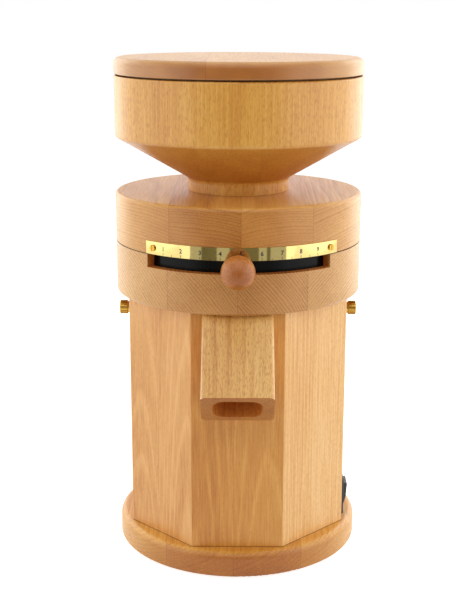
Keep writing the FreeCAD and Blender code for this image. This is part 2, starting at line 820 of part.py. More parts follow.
def adjustment():
    """Black ring with its lever and ball, and the threaded carrier that it raises and lowers."""
    reach = "(head_radius + ball_gap + ball_radius)"
    lever_start = f"({RING_RADIUS} - lever_grip)"
    lever = rod("lever_rod", "lever_radius", f"{reach} - ball_radius + ball_bore_depth - {lever_start}",
                y=f"-{lever_start}", z=LEVER_LEVEL, along="-y")
    ball_blank = doc.addObject("Part::Sphere", "ball_blank")
    bind(ball_blank, Radius="ball_radius")
    place(ball_blank, y=f"-{reach}", z=LEVER_LEVEL)
    ball = cut("ball_knob", ball_blank, lever)
    ring_blank = turned("ring_blank", ring_profile(
        f"{CARRIER_RADIUS} + thread_gap", RING_RADIUS, RING_UNDER, RING_TOP))
    ring = cut("adjusting_ring", ring_blank, lever)

    carrier_blank = turned("carrier_blank", ring_profile(
        "eye_radius", CARRIER_RADIUS, CARRIER_UNDER, CARRIER_TOP))
    pin_hole = rod("pin_hole", "pin_radius + pin_fit", "carrier_thick + 2 * cut_past", y=PIN_CIRCLE,
                   z=f"{CARRIER_UNDER} - cut_past")
    carrier = cut("stone_carrier", carrier_blank, ring_of("pin_holes", pin_hole, GUIDE_PINS))
    stator = turned("stator_stone", [
        ("eye_radius", f"{STATOR_UNDER} + flare_depth"),
        ("flare_radius", STATOR_UNDER),
        (STONE_RADIUS, STATOR_UNDER),
        (STONE_RADIUS, CARRIER_UNDER),
        ("eye_radius", CARRIER_UNDER),
    ])
    return [ring, lever, ball, carrier, stator]


def runner():
    """Lower stone with furrows on its hub, the sweeper under it, and the bolt that clamps them."""
    stone = turned("runner_blank", ring_profile("runner_bore", STONE_RADIUS, RUNNER_UNDER, RUNNER_TOP))
    furrow = box("furrow", ("furrow_offset", "furrow_width"), ("furrow_start", STONE_RADIUS),
                 (f"{RUNNER_TOP} - furrow_depth", "furrow_depth + cut_past"))
    stone_cut = cut("runner_stone", stone, ring_of("furrows", furrow, FURROWS))
    hub_top = f"({RUNNER_TOP} - hub_recess)"
    shaft_top = f"({hub_top} - flange_thick)"
    shaft_bore = "(shaft_radius + shaft_fit)"
    hub = turned("runner_hub", [
        (shaft_bore, f"{FLANGE_UNDER} - boss_depth"),
        ("boss_radius", f"{FLANGE_UNDER} - boss_depth"),
        ("boss_radius", FLANGE_UNDER),
        ("flange_radius", FLANGE_UNDER),
        ("flange_radius", RUNNER_UNDER),
        ("runner_bore", RUNNER_UNDER),
        ("runner_bore", hub_top),
        ("bolt_radius", hub_top),
        ("bolt_radius", shaft_top),
        (shaft_bore, shaft_top),
    ])
    reach = f"({CHAMBER_RADIUS} - sweeper_end_gap)"
    bar = box("sweeper_bar", centred("0", f"(2 * {reach})"), centred("0", "sweeper_width"),
              (SWEEPER_UNDER, "sweeper_thick"))
    eye = rod("sweeper_eye", "boss_radius + sweeper_width / 2", "sweeper_thick", z=SWEEPER_UNDER)
    bore = rod("sweeper_bore", "boss_radius", "sweeper_thick + 2 * cut_past",
               z=f"{SWEEPER_UNDER} - cut_past")
    sweeper = cut("flour_sweeper", joined("sweeper_blank", bar, eye), bore)
    washer = turned("runner_washer", ring_profile(
        "bolt_radius", "washer_radius", RUNNER_TOP, f"{RUNNER_TOP} + washer_thick"))
    bolt = screw("runner_bolt", "bolt_radius", "washer_thick + hub_recess + flange_thick + bolt_depth",
                 "bolt_head_radius", "bolt_head_height", "0", "0", f"{RUNNER_TOP} + washer_thick", "-z")
    shaft_under = f"({FAN_UNDER} - shaft_tail)"
    shaft_blank = rod("shaft_blank", "shaft_radius", f"{shaft_top} - {shaft_under}", z=shaft_under)
    shaft = cut("motor_shaft", shaft_blank, bolt)
    return [stone_cut, hub, sweeper, washer, bolt, shaft]


def bell(label, seat, core, sign, extras=()):
    """A motor end bell with its bearing seat, from its outer face to the core."""
    outside = "(motor_radius - bell_wall)"
    boss = "(bearing_radius + bearing_wall)"
    boss_end = f"({seat} {sign} (bearing_lip + bearing_width))"
    return turned(label, [
        ("lip_radius", seat),
        ("motor_radius", seat),
        ("motor_radius", core),
        (outside, core),
        (outside, f"{seat} {sign} bell_plate"),
        (boss, f"{seat} {sign} bell_plate"),
        (boss, boss_end),
        ("bearing_radius", boss_end),
        ("bearing_radius", f"{seat} {sign} bearing_lip"),
        ("lip_radius", f"{seat} {sign} bearing_lip"),
    ])


def motor_fasteners():
    """Long bolts through the motor into the deck."""
    circle = "(motor_radius - bell_wall / 2)"
    bolt = screw("motor_bolt", "motor_bolt_radius", f"{DECK_UNDER} - {MOTOR_UNDER} + motor_bolt_grip",
                 "motor_head_radius", "motor_head_height", "0", f"-{circle}", MOTOR_UNDER, "+z")
    return ring_of("motor_bolts", bolt, MOTOR_BOLTS, 180 / MOTOR_BOLTS)


def motor(bolts):
    """Motor under the deck: bells, core, coils, rotor, bearings and the cooling fan."""
    upper = cut("upper_bell", bell("upper_bell_blank", DECK_UNDER, CORE_TOP, "-"), bolts)
    terminal = box("terminal_box", centred("0", "terminal_width"),
                   ("motor_radius - bell_wall / 2", "bell_wall / 2 + terminal_depth"),
                   (f"{MOTOR_UNDER} + bell_plate", "terminal_height"))
    lower_blank = bell("lower_bell_blank", MOTOR_UNDER, CORE_UNDER, "+")
    lower = cut("lower_bell", joined("lower_bell_whole", lower_blank, terminal), bolts)
    core = cut("stator_core", turned("core_blank", ring_profile(
        "core_bore", "motor_radius", CORE_UNDER, CORE_TOP)), bolts)
    coil_outer = "(motor_radius - bell_wall - coil_gap)"
    coils = group("coil_heads", [
        turned(f"{name}_coil", ring_profile("coil_inner", coil_outer, under, f"{under} + coil_height"))
        for name, under in (("upper", CORE_TOP), ("lower", f"({CORE_UNDER} - coil_height)"))
    ])
    rotor = turned("rotor_core", ring_profile("shaft_radius", "core_bore - air_gap", CORE_UNDER, CORE_TOP))
    return [upper, lower, core, coils, rotor, *bearings(), cooling_fan()]


def bearings():
    """Two ball bearings: outer rings in the bells, inner rings on the shaft, balls between."""
    outer_bore = "(bearing_radius - bearing_race)"
    inner_edge = "(shaft_radius + bearing_race)"
    track = f"(({outer_bore} + {inner_edge}) / 2)"
    outers = []
    inners = []
    balls = []
    seats = {
        "upper": f"({DECK_UNDER} - bearing_lip - bearing_width)",
        "lower": f"({MOTOR_UNDER} + bearing_lip)",
    }
    for name, under in seats.items():
        top = f"({under} + bearing_width)"
        outers.append(turned(f"{name}_outer", ring_profile(outer_bore, "bearing_radius", under, top)))
        inners.append(turned(f"{name}_inner", ring_profile("shaft_radius", inner_edge, under, top)))
        ball = doc.addObject("Part::Sphere", f"{name}_ball")
        bind(ball, Radius="bearing_ball_radius")
        place(ball, y=track, z=f"{under} + bearing_width / 2")
        balls.append(ring_of(f"{name}_balls", ball, BEARING_BALLS))
    return [
        group("bearing_outer_rings", outers),
        group("bearing_inner_rings", inners),
        group("bearing_balls", balls),
    ]


def cooling_fan():
    """Radial fan on the shaft's lower end."""
    hub = rod("fan_hub_blank", "fan_hub", "fan_height", z=FAN_UNDER)
    plate = rod("fan_disc", "fan_radius", "fan_plate", z=f"{FAN_TOP} - fan_plate")
    blade = box("fan_blade", centred("0", "blade_thick"),
                ("fan_hub / 2", "fan_radius - fan_hub / 2 - blade_thick"), (FAN_UNDER, "fan_height"))
    blades = ring_of("fan_blades", blade, FAN_BLADES)
    bore = rod("fan_bore", "shaft_radius", "fan_height + 2 * cut_past", z=f"{FAN_UNDER} - cut_past")
    return cut("cooling_fan", joined("fan_blank", hub, plate, blades), bore)


def hopper():
    """Turned hopper with neck, cone and drum, the bored peg glued into its neck, and its lid with a plug."""
    peg_under = f"({HEAD_TOP} - peg_depth)"
    neck_under = f"({HEAD_TOP} + seat_gap)"
    inside = f"({HOPPER_RADIUS} - hopper_wall)"
    rebate = f"({HOPPER_RADIUS} - rim_wall)"
    rebate_level = f"({RIM_TOP} - rebate_depth)"
    funnel_foot = f"({NECK_TOP} + throat_rise)"
    funnel_top = f"({CONE_TOP} + cone_wall)"
    funnel_slope = f"(({funnel_top} - {funnel_foot}) / ({inside} - throat_radius))"
    peg_top = f"({funnel_foot} + ({PEG_RADIUS} - throat_radius) * {funnel_slope})"
    peg = turned("hopper_peg", [
        ("throat_radius", peg_under),
        (PEG_RADIUS, peg_under),
        (PEG_RADIUS, peg_top),
        ("throat_radius", funnel_foot),
    ])
    body = turned("hopper", [
        (PEG_RADIUS, neck_under),
        ("neck_radius", neck_under),
        ("neck_radius", NECK_TOP),
        (HOPPER_RADIUS, CONE_TOP),
        (HOPPER_RADIUS, RIM_TOP),
        (rebate, RIM_TOP),
        (rebate, rebate_level),
        (inside, rebate_level),
        (inside, funnel_top),
        (PEG_RADIUS, peg_top),
    ])
    round_rim(body, "neck_round", "neck_radius", NECK_TOP)
    round_rim(body, "hopper_round", HOPPER_RADIUS, CONE_TOP)
    round_rim(body, "rim_round", HOPPER_RADIUS, RIM_TOP)
    plug = f"({rebate} - plug_gap)"
    lid_top = f"({LID_UNDER} + lid_thick)"
    lid = turned("hopper_lid", [
        ("0", f"{rebate_level} + seat_gap"),
        (plug, f"{rebate_level} + seat_gap"),
        (plug, LID_UNDER),
        (LID_RADIUS, LID_UNDER),
        (LID_RADIUS, lid_top),
        ("0", lid_top),
    ])
    round_rim(lid, "lid_round", LID_RADIUS, lid_top)
    round_rim(lid, "lid_under_round", LID_RADIUS, LID_UNDER)
    return [body, peg, lid]


def thumb_screw(side, sign, along):
    """Knurled clamping screw with its washer, at one side of the head's spigot."""
    face = f"({OUTER_FLAT} + thumb_washer_thick)"
    tip = f"({SPIGOT_RADIUS} + tip_gap)"
    head_start = f"({face} + collar_length)"
    head_end = f"({head_start} + knurl_length)"
    body = turned(f"thumb_{side}_blank", [
        ("0", tip),
        ("shank_radius", tip),
        ("shank_radius", face),
        ("collar_radius", face),
        ("collar_radius", head_start),
        ("knurl_radius - knurl_edge", head_start),
        ("knurl_radius", f"{head_start} + knurl_edge"),
        ("knurl_radius", f"{head_end} - knurl_edge"),
        ("knurl_radius - knurl_edge", head_end),
        ("0", head_end),
    ])
    grooves = round(size_of("2 * pi * knurl_radius / knurl_pitch"))
    groove = box(f"knurl_{side}", ("knurl_radius - knurl_depth", "knurl_depth + cut_past"),
                 centred("0", "(2 * knurl_depth)"),
                 (f"{head_start} + knurl_edge", "knurl_length - 2 * knurl_edge"))
    knurled = cut(f"thumb_screw_{side}", body, ring_of(f"knurls_{side}", groove, grooves))
    washer = turned(f"thumb_washer_{side}", ring_profile(
        "shank_radius + shank_fit", "thumb_washer_radius", OUTER_FLAT, face))
    insert = turned(f"thumb_insert_{side}", ring_profile(
        "shank_radius + shank_fit", "insert_radius", f"{OUTER_FLAT} - insert_length", OUTER_FLAT))
    for piece in (knurled, washer, insert):
        place(piece, z=THUMB_LEVEL, rotation=Rotation(DIRECTIONS["+z"], DIRECTIONS[along]))
    seat = rod(f"insert_seat_{side}", "insert_radius", "insert_length",
               f"{sign}({OUTER_FLAT} - insert_length)", "0", THUMB_LEVEL, along)
    clear = rod(f"shank_hole_{side}", "shank_radius + shank_fit", "panel_thick + 2 * cut_past",
                f"{sign}({INNER_FLAT} - cut_past)", "0", THUMB_LEVEL, along)
    return [knurled, washer], insert, [seat, clear]


def rocker_switch():
    """Rocker switch in the right panel: body with bezel and well, and the tilted rocker on its pivot."""
    centre_y = f"(0 - {SWITCH_SIDE})"
    face = OUTER_FLAT
    bezel = extruded("bezel", "YZ_Plane", [
        ("-bezel_width / 2", "-bezel_height / 2"),
        ("bezel_width / 2", "-bezel_height / 2"),
        ("bezel_width / 2", "bezel_height / 2"),
        ("-bezel_width / 2", "bezel_height / 2"),
    ], "bezel_thick")
    round_edges(bezel, "bezel_corner", lambda edge: runs_along(edge, DIRECTIONS["+x"]))
    front = size_of("bezel_thick / 2")
    round_edges(bezel, "bezel_edge", lambda edge: abs(edge.BoundBox.XMin - front) < SAME)
    place(bezel, f"{face} + bezel_thick / 2", centre_y, SWITCH_LEVEL)
    case = box("switch_case", (f"{face} - switch_depth", "switch_depth"), centred(centre_y, "switch_width"),
               centred(SWITCH_LEVEL, "switch_height"))
    well = box("switch_well", (f"{face} - well_depth", "well_depth + bezel_thick + cut_past"),
               centred(centre_y, "well_width"), centred(SWITCH_LEVEL, "well_height"))
    pivot_x = f"({face} - pivot_drop)"
    pivot_half = "(well_width / 2 + pivot_length)"
    pivot_hole = rod("pivot_hole", "pivot_radius + pivot_fit", f"2 * {pivot_half} + 2 * pivot_fit", pivot_x,
                     f"{centre_y} - {pivot_half} - pivot_fit", SWITCH_LEVEL, "+y")
    body = cut("switch_body", joined("switch_blank", bezel, case), well, pivot_hole)
    hole = box("switch_hole", (f"{INNER_FLAT} - cut_past", "panel_thick + 2 * cut_past"),
               centred(centre_y, "(switch_width + 2 * switch_gap)"),
               centred(SWITCH_LEVEL, "(switch_height + 2 * switch_gap)"))

    paddle = extruded("rocker_paddle", "XZ_Plane", [
        ("pivot_drop + rocker_ridge", "0"),
        ("pivot_drop + rocker_rise", "rocker_half"),
        ("pivot_drop + rocker_rise - rocker_edge", "rocker_half"),
        ("0 - pivot_radius", "rocker_foot"),
        ("0 - pivot_radius", "0 - rocker_foot"),
        ("pivot_drop + rocker_rise - rocker_edge", "0 - rocker_half"),
        ("pivot_drop + rocker_rise", "0 - rocker_half"),
    ], "well_width - 2 * rocker_gap")
    tips = size_of("pivot_drop + rocker_rise")
    round_edges(paddle, "rocker_round", lambda edge: abs(edge.BoundBox.XMin - tips) < SAME
                and runs_along(edge, DIRECTIONS["+y"]))
    axle = rod("rocker_axle", "pivot_radius", f"2 * {pivot_half}", y=f"-{pivot_half}", along="+y")
    rocker = joined("switch_rocker", paddle, axle)
    place(rocker, pivot_x, centre_y, SWITCH_LEVEL, Rotation(Vector(0, 1, 0), size_of("rocker_tilt")))
    bind(rocker, **{"Placement.Rotation.Angle": "rocker_tilt"})
    return [body, rocker], hole


def inlet():
    """Appliance inlet in the rear panel: shell with flange, three flat pins and two screws."""
    face = OUTER_FLAT
    flange = box("inlet_flange", centred("0", "inlet_flange_width"), (face, "inlet_flange_thick"),
                 centred("inlet_level", "inlet_flange_height"))
    shell = box("inlet_shell", centred("0", "inlet_shell_width"),
                (f"{face} - inlet_shell_depth", "inlet_shell_depth"),
                centred("inlet_level", "inlet_shell_height"))
    recess = box("inlet_recess", centred("0", "(inlet_shell_width - 2 * inlet_wall)"),
                 (f"{face} - inlet_shell_depth + inlet_back", "inlet_shell_depth + inlet_flange_thick"),
                 centred("inlet_level", "(inlet_shell_height - 2 * inlet_wall)"))
    blades = []
    start = f"({face} - inlet_shell_depth - blade_tail)"
    for name, x, z in (("live", "0 - blade_side", "0 - blade_step"), ("earth", "0", "blade_step"),
                       ("neutral", "blade_side", "0 - blade_step")):
        blades.append(box(f"pin_{name}", centred(x, "blade_width"),
                          (start, "blade_tail + inlet_back + blade_length"),
                          centred(f"inlet_level + {z}", "blade_height")))
    pins = group("inlet_pins", blades)
    fasteners = [
        screw(f"inlet_screw_{side}", "inlet_screw_radius", "inlet_flange_thick + inlet_screw_grip",
              "inlet_head_radius", "inlet_head_height", f"{sign}inlet_screw_side",
              f"{face} + inlet_flange_thick", "inlet_level", "-y")
        for side, sign in (("left", "-"), ("right", ""))
    ]
    screws = group("inlet_screws", fasteners)
    cuts = group("inlet_cuts", [recess, pins, screws])
    body = cut("inlet_body", joined("inlet_blank", flange, shell), cuts)
    hole = box("inlet_hole", centred("0", "(inlet_shell_width + 2 * inlet_gap)"),
               (f"{INNER_FLAT} - cut_past", "panel_thick + 2 * cut_past"),
               centred("inlet_level", "(inlet_shell_height + 2 * inlet_gap)"))
    return [body, pins, screws], [hole, screws]


def can_centre():
    """The capacitor's axis beside the left panel, as x and z."""
    x = f"(0 - {INNER_FLAT} + can_radius + clamp_thick + can_gap)"
    z = f"({BASE_TOP} + clamp_thick + can_gap + can_radius)"
    return x, z


def clamp_fastener():
    """The screw through the clamp's foot into the base plate."""
    x, _ = can_centre()
    return screw("clamp_screw", "clamp_screw_radius", "clamp_thick + clamp_screw_grip", "clamp_head_radius",
                 "clamp_head_height", f"{x} + can_radius + clamp_foot / 2 + clamp_thick", "0",
                 f"{BASE_TOP} + clamp_thick", "-z")


def capacitor(clamp_screw):
    """Motor capacitor on the base plate, held by a strap with one screw."""
    x, z = can_centre()
    can = rod("capacitor", "can_radius", "can_length", x, "-can_length / 2", z, "+y")
    strap_radius = "(can_radius + clamp_thick + can_gap / 2)"
    hoop = rod("strap_hoop", strap_radius, "clamp_width", x, "-clamp_width / 2", z, "+y")
    foot = box("strap_foot", (x, "can_radius + clamp_thick + clamp_foot"), centred("0", "clamp_width"),
               (BASE_TOP, "clamp_thick"))
    hollow = rod("strap_hollow", "can_radius + can_gap / 2", "clamp_width + 2 * cut_past", x,
                 "-clamp_width / 2 - cut_past", z, "+y")
    strap = cut("capacitor_strap", joined("strap_blank", hoop, foot), hollow, clamp_screw)
    return [can, group("capacitor_clamp", [strap, clamp_screw])]


def lead(points):
    """A round lead along straight runs joined by tangent arcs."""
    bend = size_of("lead_bend")
    radius = size_of("lead_radius")
    edges = []
    start = points[0]
    for corner, after in zip(points[1:-1], points[2:]):
        before = (corner - start).normalize()
        onward = (after - corner).normalize()
        half_turn = before.getAngle(onward) / 2
        back = bend * math.tan(half_turn)
        entry = corner - before * back
        leave = corner + onward * back
        inward = (onward - before).normalize()
        middle = corner + inward * (bend / math.cos(half_turn) - bend)
        edges.append(Part.LineSegment(start, entry).toShape())
        edges.append(Part.Arc(entry, middle, leave).toShape())
        start = leave
    edges.append(Part.LineSegment(start, points[-1]).toShape())
    path = Part.Wire(edges)
    along = (points[1] - points[0]).normalize()
    section = Part.Wire([Part.Circle(points[0], along, radius).toShape()])
    return path.makePipeShell([section], True, False)


def leads():
    """Inner leads between inlet, switch, capacitor and the motor's terminal box."""
    run = size_of("lead_run")
    spacing = size_of("lead_spacing")
    side = size_of("blade_side")
    pin_y = size_of(f"{OUTER_FLAT} - inlet_shell_depth - blade_tail")
    pin_z = size_of("inlet_level - blade_step")
    box_x = size_of("0 - terminal_width / 2")
    box_y = size_of("motor_radius + terminal_depth / 2")
    box_under = size_of(f"{MOTOR_UNDER} + bell_plate")
    box_middle = size_of(f"{MOTOR_UNDER} + bell_plate + terminal_height / 2")
    switch_x = size_of(f"{OUTER_FLAT} - switch_depth")
    switch_y = size_of(f"0 - {SWITCH_SIDE}")
    switch_z = size_of(SWITCH_LEVEL)
    inner_x = switch_x - 2 * run
    can_x, can_z = (size_of(text) for text in can_centre())
    can_end = size_of("can_length / 2")
    routes = [
        # From the live pin to the switch
        [
            Vector(side, pin_y, pin_z),
            Vector(side, pin_y - run, pin_z),
            Vector(inner_x, switch_y + spacing + 3 * run, switch_z),
            Vector(inner_x, switch_y + spacing, switch_z),
            Vector(switch_x, switch_y + spacing, switch_z),
        ],
        # From the switch to the terminal box
        [
            Vector(switch_x, switch_y - spacing, switch_z - spacing),
            Vector(switch_x - run, switch_y - spacing, switch_z - spacing),
            Vector(switch_x - run, switch_y + 4 * run, switch_z - spacing),
            Vector(side, box_y, box_under - 2 * run),
            Vector(side, box_y, box_under),
        ],
        # From the neutral pin to the terminal box
        [
            Vector(-side, pin_y, pin_z),
            Vector(-side, box_y, pin_z),
            Vector(-side, box_y, box_under),
        ],
        # From the capacitor to the side of the terminal box
        [
            Vector(can_x, can_end, can_z),
            Vector(can_x, can_end + run, can_z),
            Vector(can_x + run, can_end + run, box_under - run),
            Vector(box_x - 2 * run, box_y, box_middle),
            Vector(box_x, box_y, box_middle),
        ],
    ]
    wires = []
    for index, route in enumerate(routes):
        wire = doc.addObject("Part::Feature", f"lead_{index}")
        wire.Shape = lead(route)
        wires.append(wire)
    return group("inner_leads", wires)


def assemble():
    """Every piece of the mill, in the order from the table upwards."""
    channel = grain_channel()
    base_pieces, panel_screws, clamp_screw = base_and_feet()
    spout_block, spout_screws = spout(channel)
    left_thumb, left_insert, left_holes = thumb_screw("left", "-", "-x")
    right_thumb, right_insert, right_holes = thumb_screw("right", "", "+x")
    switch_pieces, switch_hole = rocker_switch()
    inlet_pieces, inlet_holes = inlet()
    panel_pieces = panels(panel_screws, {
        "front": [channel, spout_screws],
        "right": [*right_holes, switch_hole],
        "left": left_holes,
        "rear": inlet_holes,
    })
    bolts = motor_fasteners()
    return [
        *base_pieces,
        *panel_pieces,
        spout_block,
        spout_screws,
        *deck_and_floor(channel, bolts),
        *head(channel),
        *adjustment(),
        *runner(),
        *motor(bolts),
        bolts,
        *hopper(),
        *left_thumb,
        *right_thumb,
        group("thumb_inserts", [left_insert, right_insert]),
        *switch_pieces,
        *inlet_pieces,
        *capacitor(clamp_screw),
        leads(),
    ]


def write_parts(pieces):
    """Checks the whole document, then writes one STEP file per piece."""
    doc.recompute()
    failed = [thing.Name for thing in doc.Objects if {"Invalid", "Error"} & set(thing.State)]
    if failed:
        raise RuntimeError(f"failed objects: {failed}")
    for piece in pieces:
        if piece.Shape.isNull() or not piece.Shape.isValid() or not piece.Shape.Solids:
            raise RuntimeError(f"bad shape: {piece.Label}")
    os.makedirs("parts", exist_ok=True)
    for piece in pieces:
        piece.Shape.exportStep(f"parts/{piece.Label}.step")
    print(f"{len(pieces)} pieces written")


write_parts(assemble())
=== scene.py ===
"""Looks of a household grain mill: oiled beech, a polished brass scale, a black adjusting ring and millstones.

Metres, +Z up, front at -Y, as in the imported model. Patterns of materials are in millimetres.
"""
import json
import math

import bmesh
import bpy
from mathutils import Matrix, Vector


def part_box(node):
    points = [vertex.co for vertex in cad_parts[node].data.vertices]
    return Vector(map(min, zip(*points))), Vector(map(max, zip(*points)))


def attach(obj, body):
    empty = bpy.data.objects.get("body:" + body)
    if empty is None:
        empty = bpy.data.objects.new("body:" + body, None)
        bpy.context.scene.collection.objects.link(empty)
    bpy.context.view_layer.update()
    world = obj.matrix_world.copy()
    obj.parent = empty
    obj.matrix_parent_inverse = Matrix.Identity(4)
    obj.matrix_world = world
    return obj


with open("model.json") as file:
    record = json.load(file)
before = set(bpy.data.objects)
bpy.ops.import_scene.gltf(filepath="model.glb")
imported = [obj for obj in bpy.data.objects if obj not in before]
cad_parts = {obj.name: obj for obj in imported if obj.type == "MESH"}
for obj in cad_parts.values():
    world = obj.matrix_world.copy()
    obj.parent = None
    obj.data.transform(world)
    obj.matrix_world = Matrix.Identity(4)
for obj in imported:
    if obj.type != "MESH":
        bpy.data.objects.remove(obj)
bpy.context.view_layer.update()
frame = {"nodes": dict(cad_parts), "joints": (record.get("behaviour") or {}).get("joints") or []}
nodes = frame["nodes"]

MM = 0.001
WHITE = (1.0, 1.0, 1.0, 1.0)
QUARTER_TURN = math.radians(90)
NO_TURN = (0.0, 0.0, 0.0)
# Turns that lay the grain, which runs along a material's own Z, from front to back or down the spout's slope
FRONT_TO_BACK = (-QUARTER_TURN, 0.0, 0.0)
DOWN_THE_SPOUT = (math.radians(-45), 0.0, 0.0)


def srgb(text):
    """A hex colour as linear RGBA."""
    parts = [int(text[start:start + 2], 16) / 255 for start in (1, 3, 5)]
    return (*[p / 12.92 if p <= 0.04045 else ((p + 0.055) / 1.055) ** 2.4 for p in parts], 1.0)


def add(tree, kind, inputs=None, out=0, stops=None, **settings):
    """Adds a node with its settings, feeds its sockets by values or links, and returns one output."""
    made = tree.nodes.new(kind)
    for name, value in settings.items():
        setattr(made, name, value)
    for key, value in (inputs or {}).items():
        if isinstance(value, bpy.types.NodeSocket):
            tree.links.new(value, made.inputs[key])
        else:
            made.inputs[key].default_value = value
    if stops:
        ramp = made.color_ramp.elements
        while len(ramp) < len(stops):
            ramp.new(1.0)
        for element, (position, colour) in zip(ramp, stops):
            element.position = position
            element.color = srgb(colour)
    return made.outputs[out] if made.outputs else None


def new_material(name, **sockets):
    """An empty material with a Principled shader whose constant sockets are set."""
    material = bpy.data.materials.new(name)
    material.use_nodes = True
    tree = material.node_tree
    shader = tree.nodes["Principled BSDF"]
    for socket, value in sockets.items():
        shader.inputs[socket.replace("_", " ")].default_value = value
    return material, tree, shader


def place_in_mm(tree, turn=NO_TURN):
    """Object coordinates in millimetres, turned."""
    where = add(tree, "ShaderNodeTexCoord", out="Object")
    return add(tree, "ShaderNodeMapping", {"Vector": where, "Rotation": turn, "Scale": (MM, MM, MM)},
               vector_type="TEXTURE")


def per_mm(size):
    """A pattern's scale on each axis, from its size in millimetres."""
    return tuple(1 / part for part in size)


# Beech: how far the piths of boards differ, the size and reach of the growth rings' slow wander, and the length and
# reach of spells of narrow and wide rings
PITH_SPREAD = (60.0, 60.0, 400.0)
WANDER_SIZE = (38.0, 38.0, 240.0)
WANDER_REACH = 5.0
SPELL_LENGTH = 11.0
SPELL_REACH = 5.0
# Darkness over one growth ring: a dark line of late wood, or a thin pale line of early wood
DARK_LINES = (
    (0.0, "#000000"), (0.10, "#000000"), (0.22, "#808080"), (0.60, "#9a9a9a"), (0.86, "#ffffff"), (1.0, "#303030"),
)
PALE_LINES = ((0.0, "#000000"), (0.08, "#000000"), (0.20, "#b0b0b0"), (0.80, "#b8b8b8"), (1.0, "#404040"))
# Beech's rays and fibres are too fine for the render, so rays are drawn 0.6 mm wide and fibres about 1 mm apart
RAY_WIDTH = 0.6
RAY_DEPTH = 2.5
RAY_LENGTH = 3.5
RAY_NOISE = {"From Min": 0.48, "From Max": 0.72}
RAY_RELIEF = -0.6
FIBRE_SIZE = (10 / 9, 10 / 9, 40.0)
# Slow changes of tone within a board, the tone all shares start from, and a growth ring's mean darkness
CLOUD_SIZE = (22.0, 22.0, 170.0)
CLOUD_SHARE = 0.6
MIDDLE_TONE = 0.2
LATE_MEAN = 0.4
# How far a face has to look along the grain to count as end grain, and at most to be the wall of a bore
END_GRAIN = {"From Min": 0.45, "From Max": 0.95}
BORE_WALL = 0.8
# How far from its middle a glue line or the painted shade of an open seam begins and ends to fade
GLUE_LINE = {"From Min": 0.12, "From Max": 0.40}
OPEN_SEAM = {"From Min": 0.1, "From Max": 0.7, "To Min": 0.95}
# Stains, which are multiplied onto the wood, and painted shade for seams and bores, multiplied the same way
RAY_STAIN = srgb("#c58648")
END_STAIN = srgb("#cca052")
# Painted shade of an open seam: a dark brown line
GLUE_STAIN = srgb("#a0703f")
SEAM_PAINTED_SHADE = srgb("#40200e")
# Painted shade inside a bore or slot: a darker, redder tone
BORE_PAINTED_SHADE = srgb("#f8c494")
MULTIPLIED_ONTO_WOOD = {"out": 2, "data_type": "RGBA", "blend_type": "MULTIPLY"}
GLOSS_SPREAD = 0.06
RELIEF_HEIGHT = 0.1 * MM


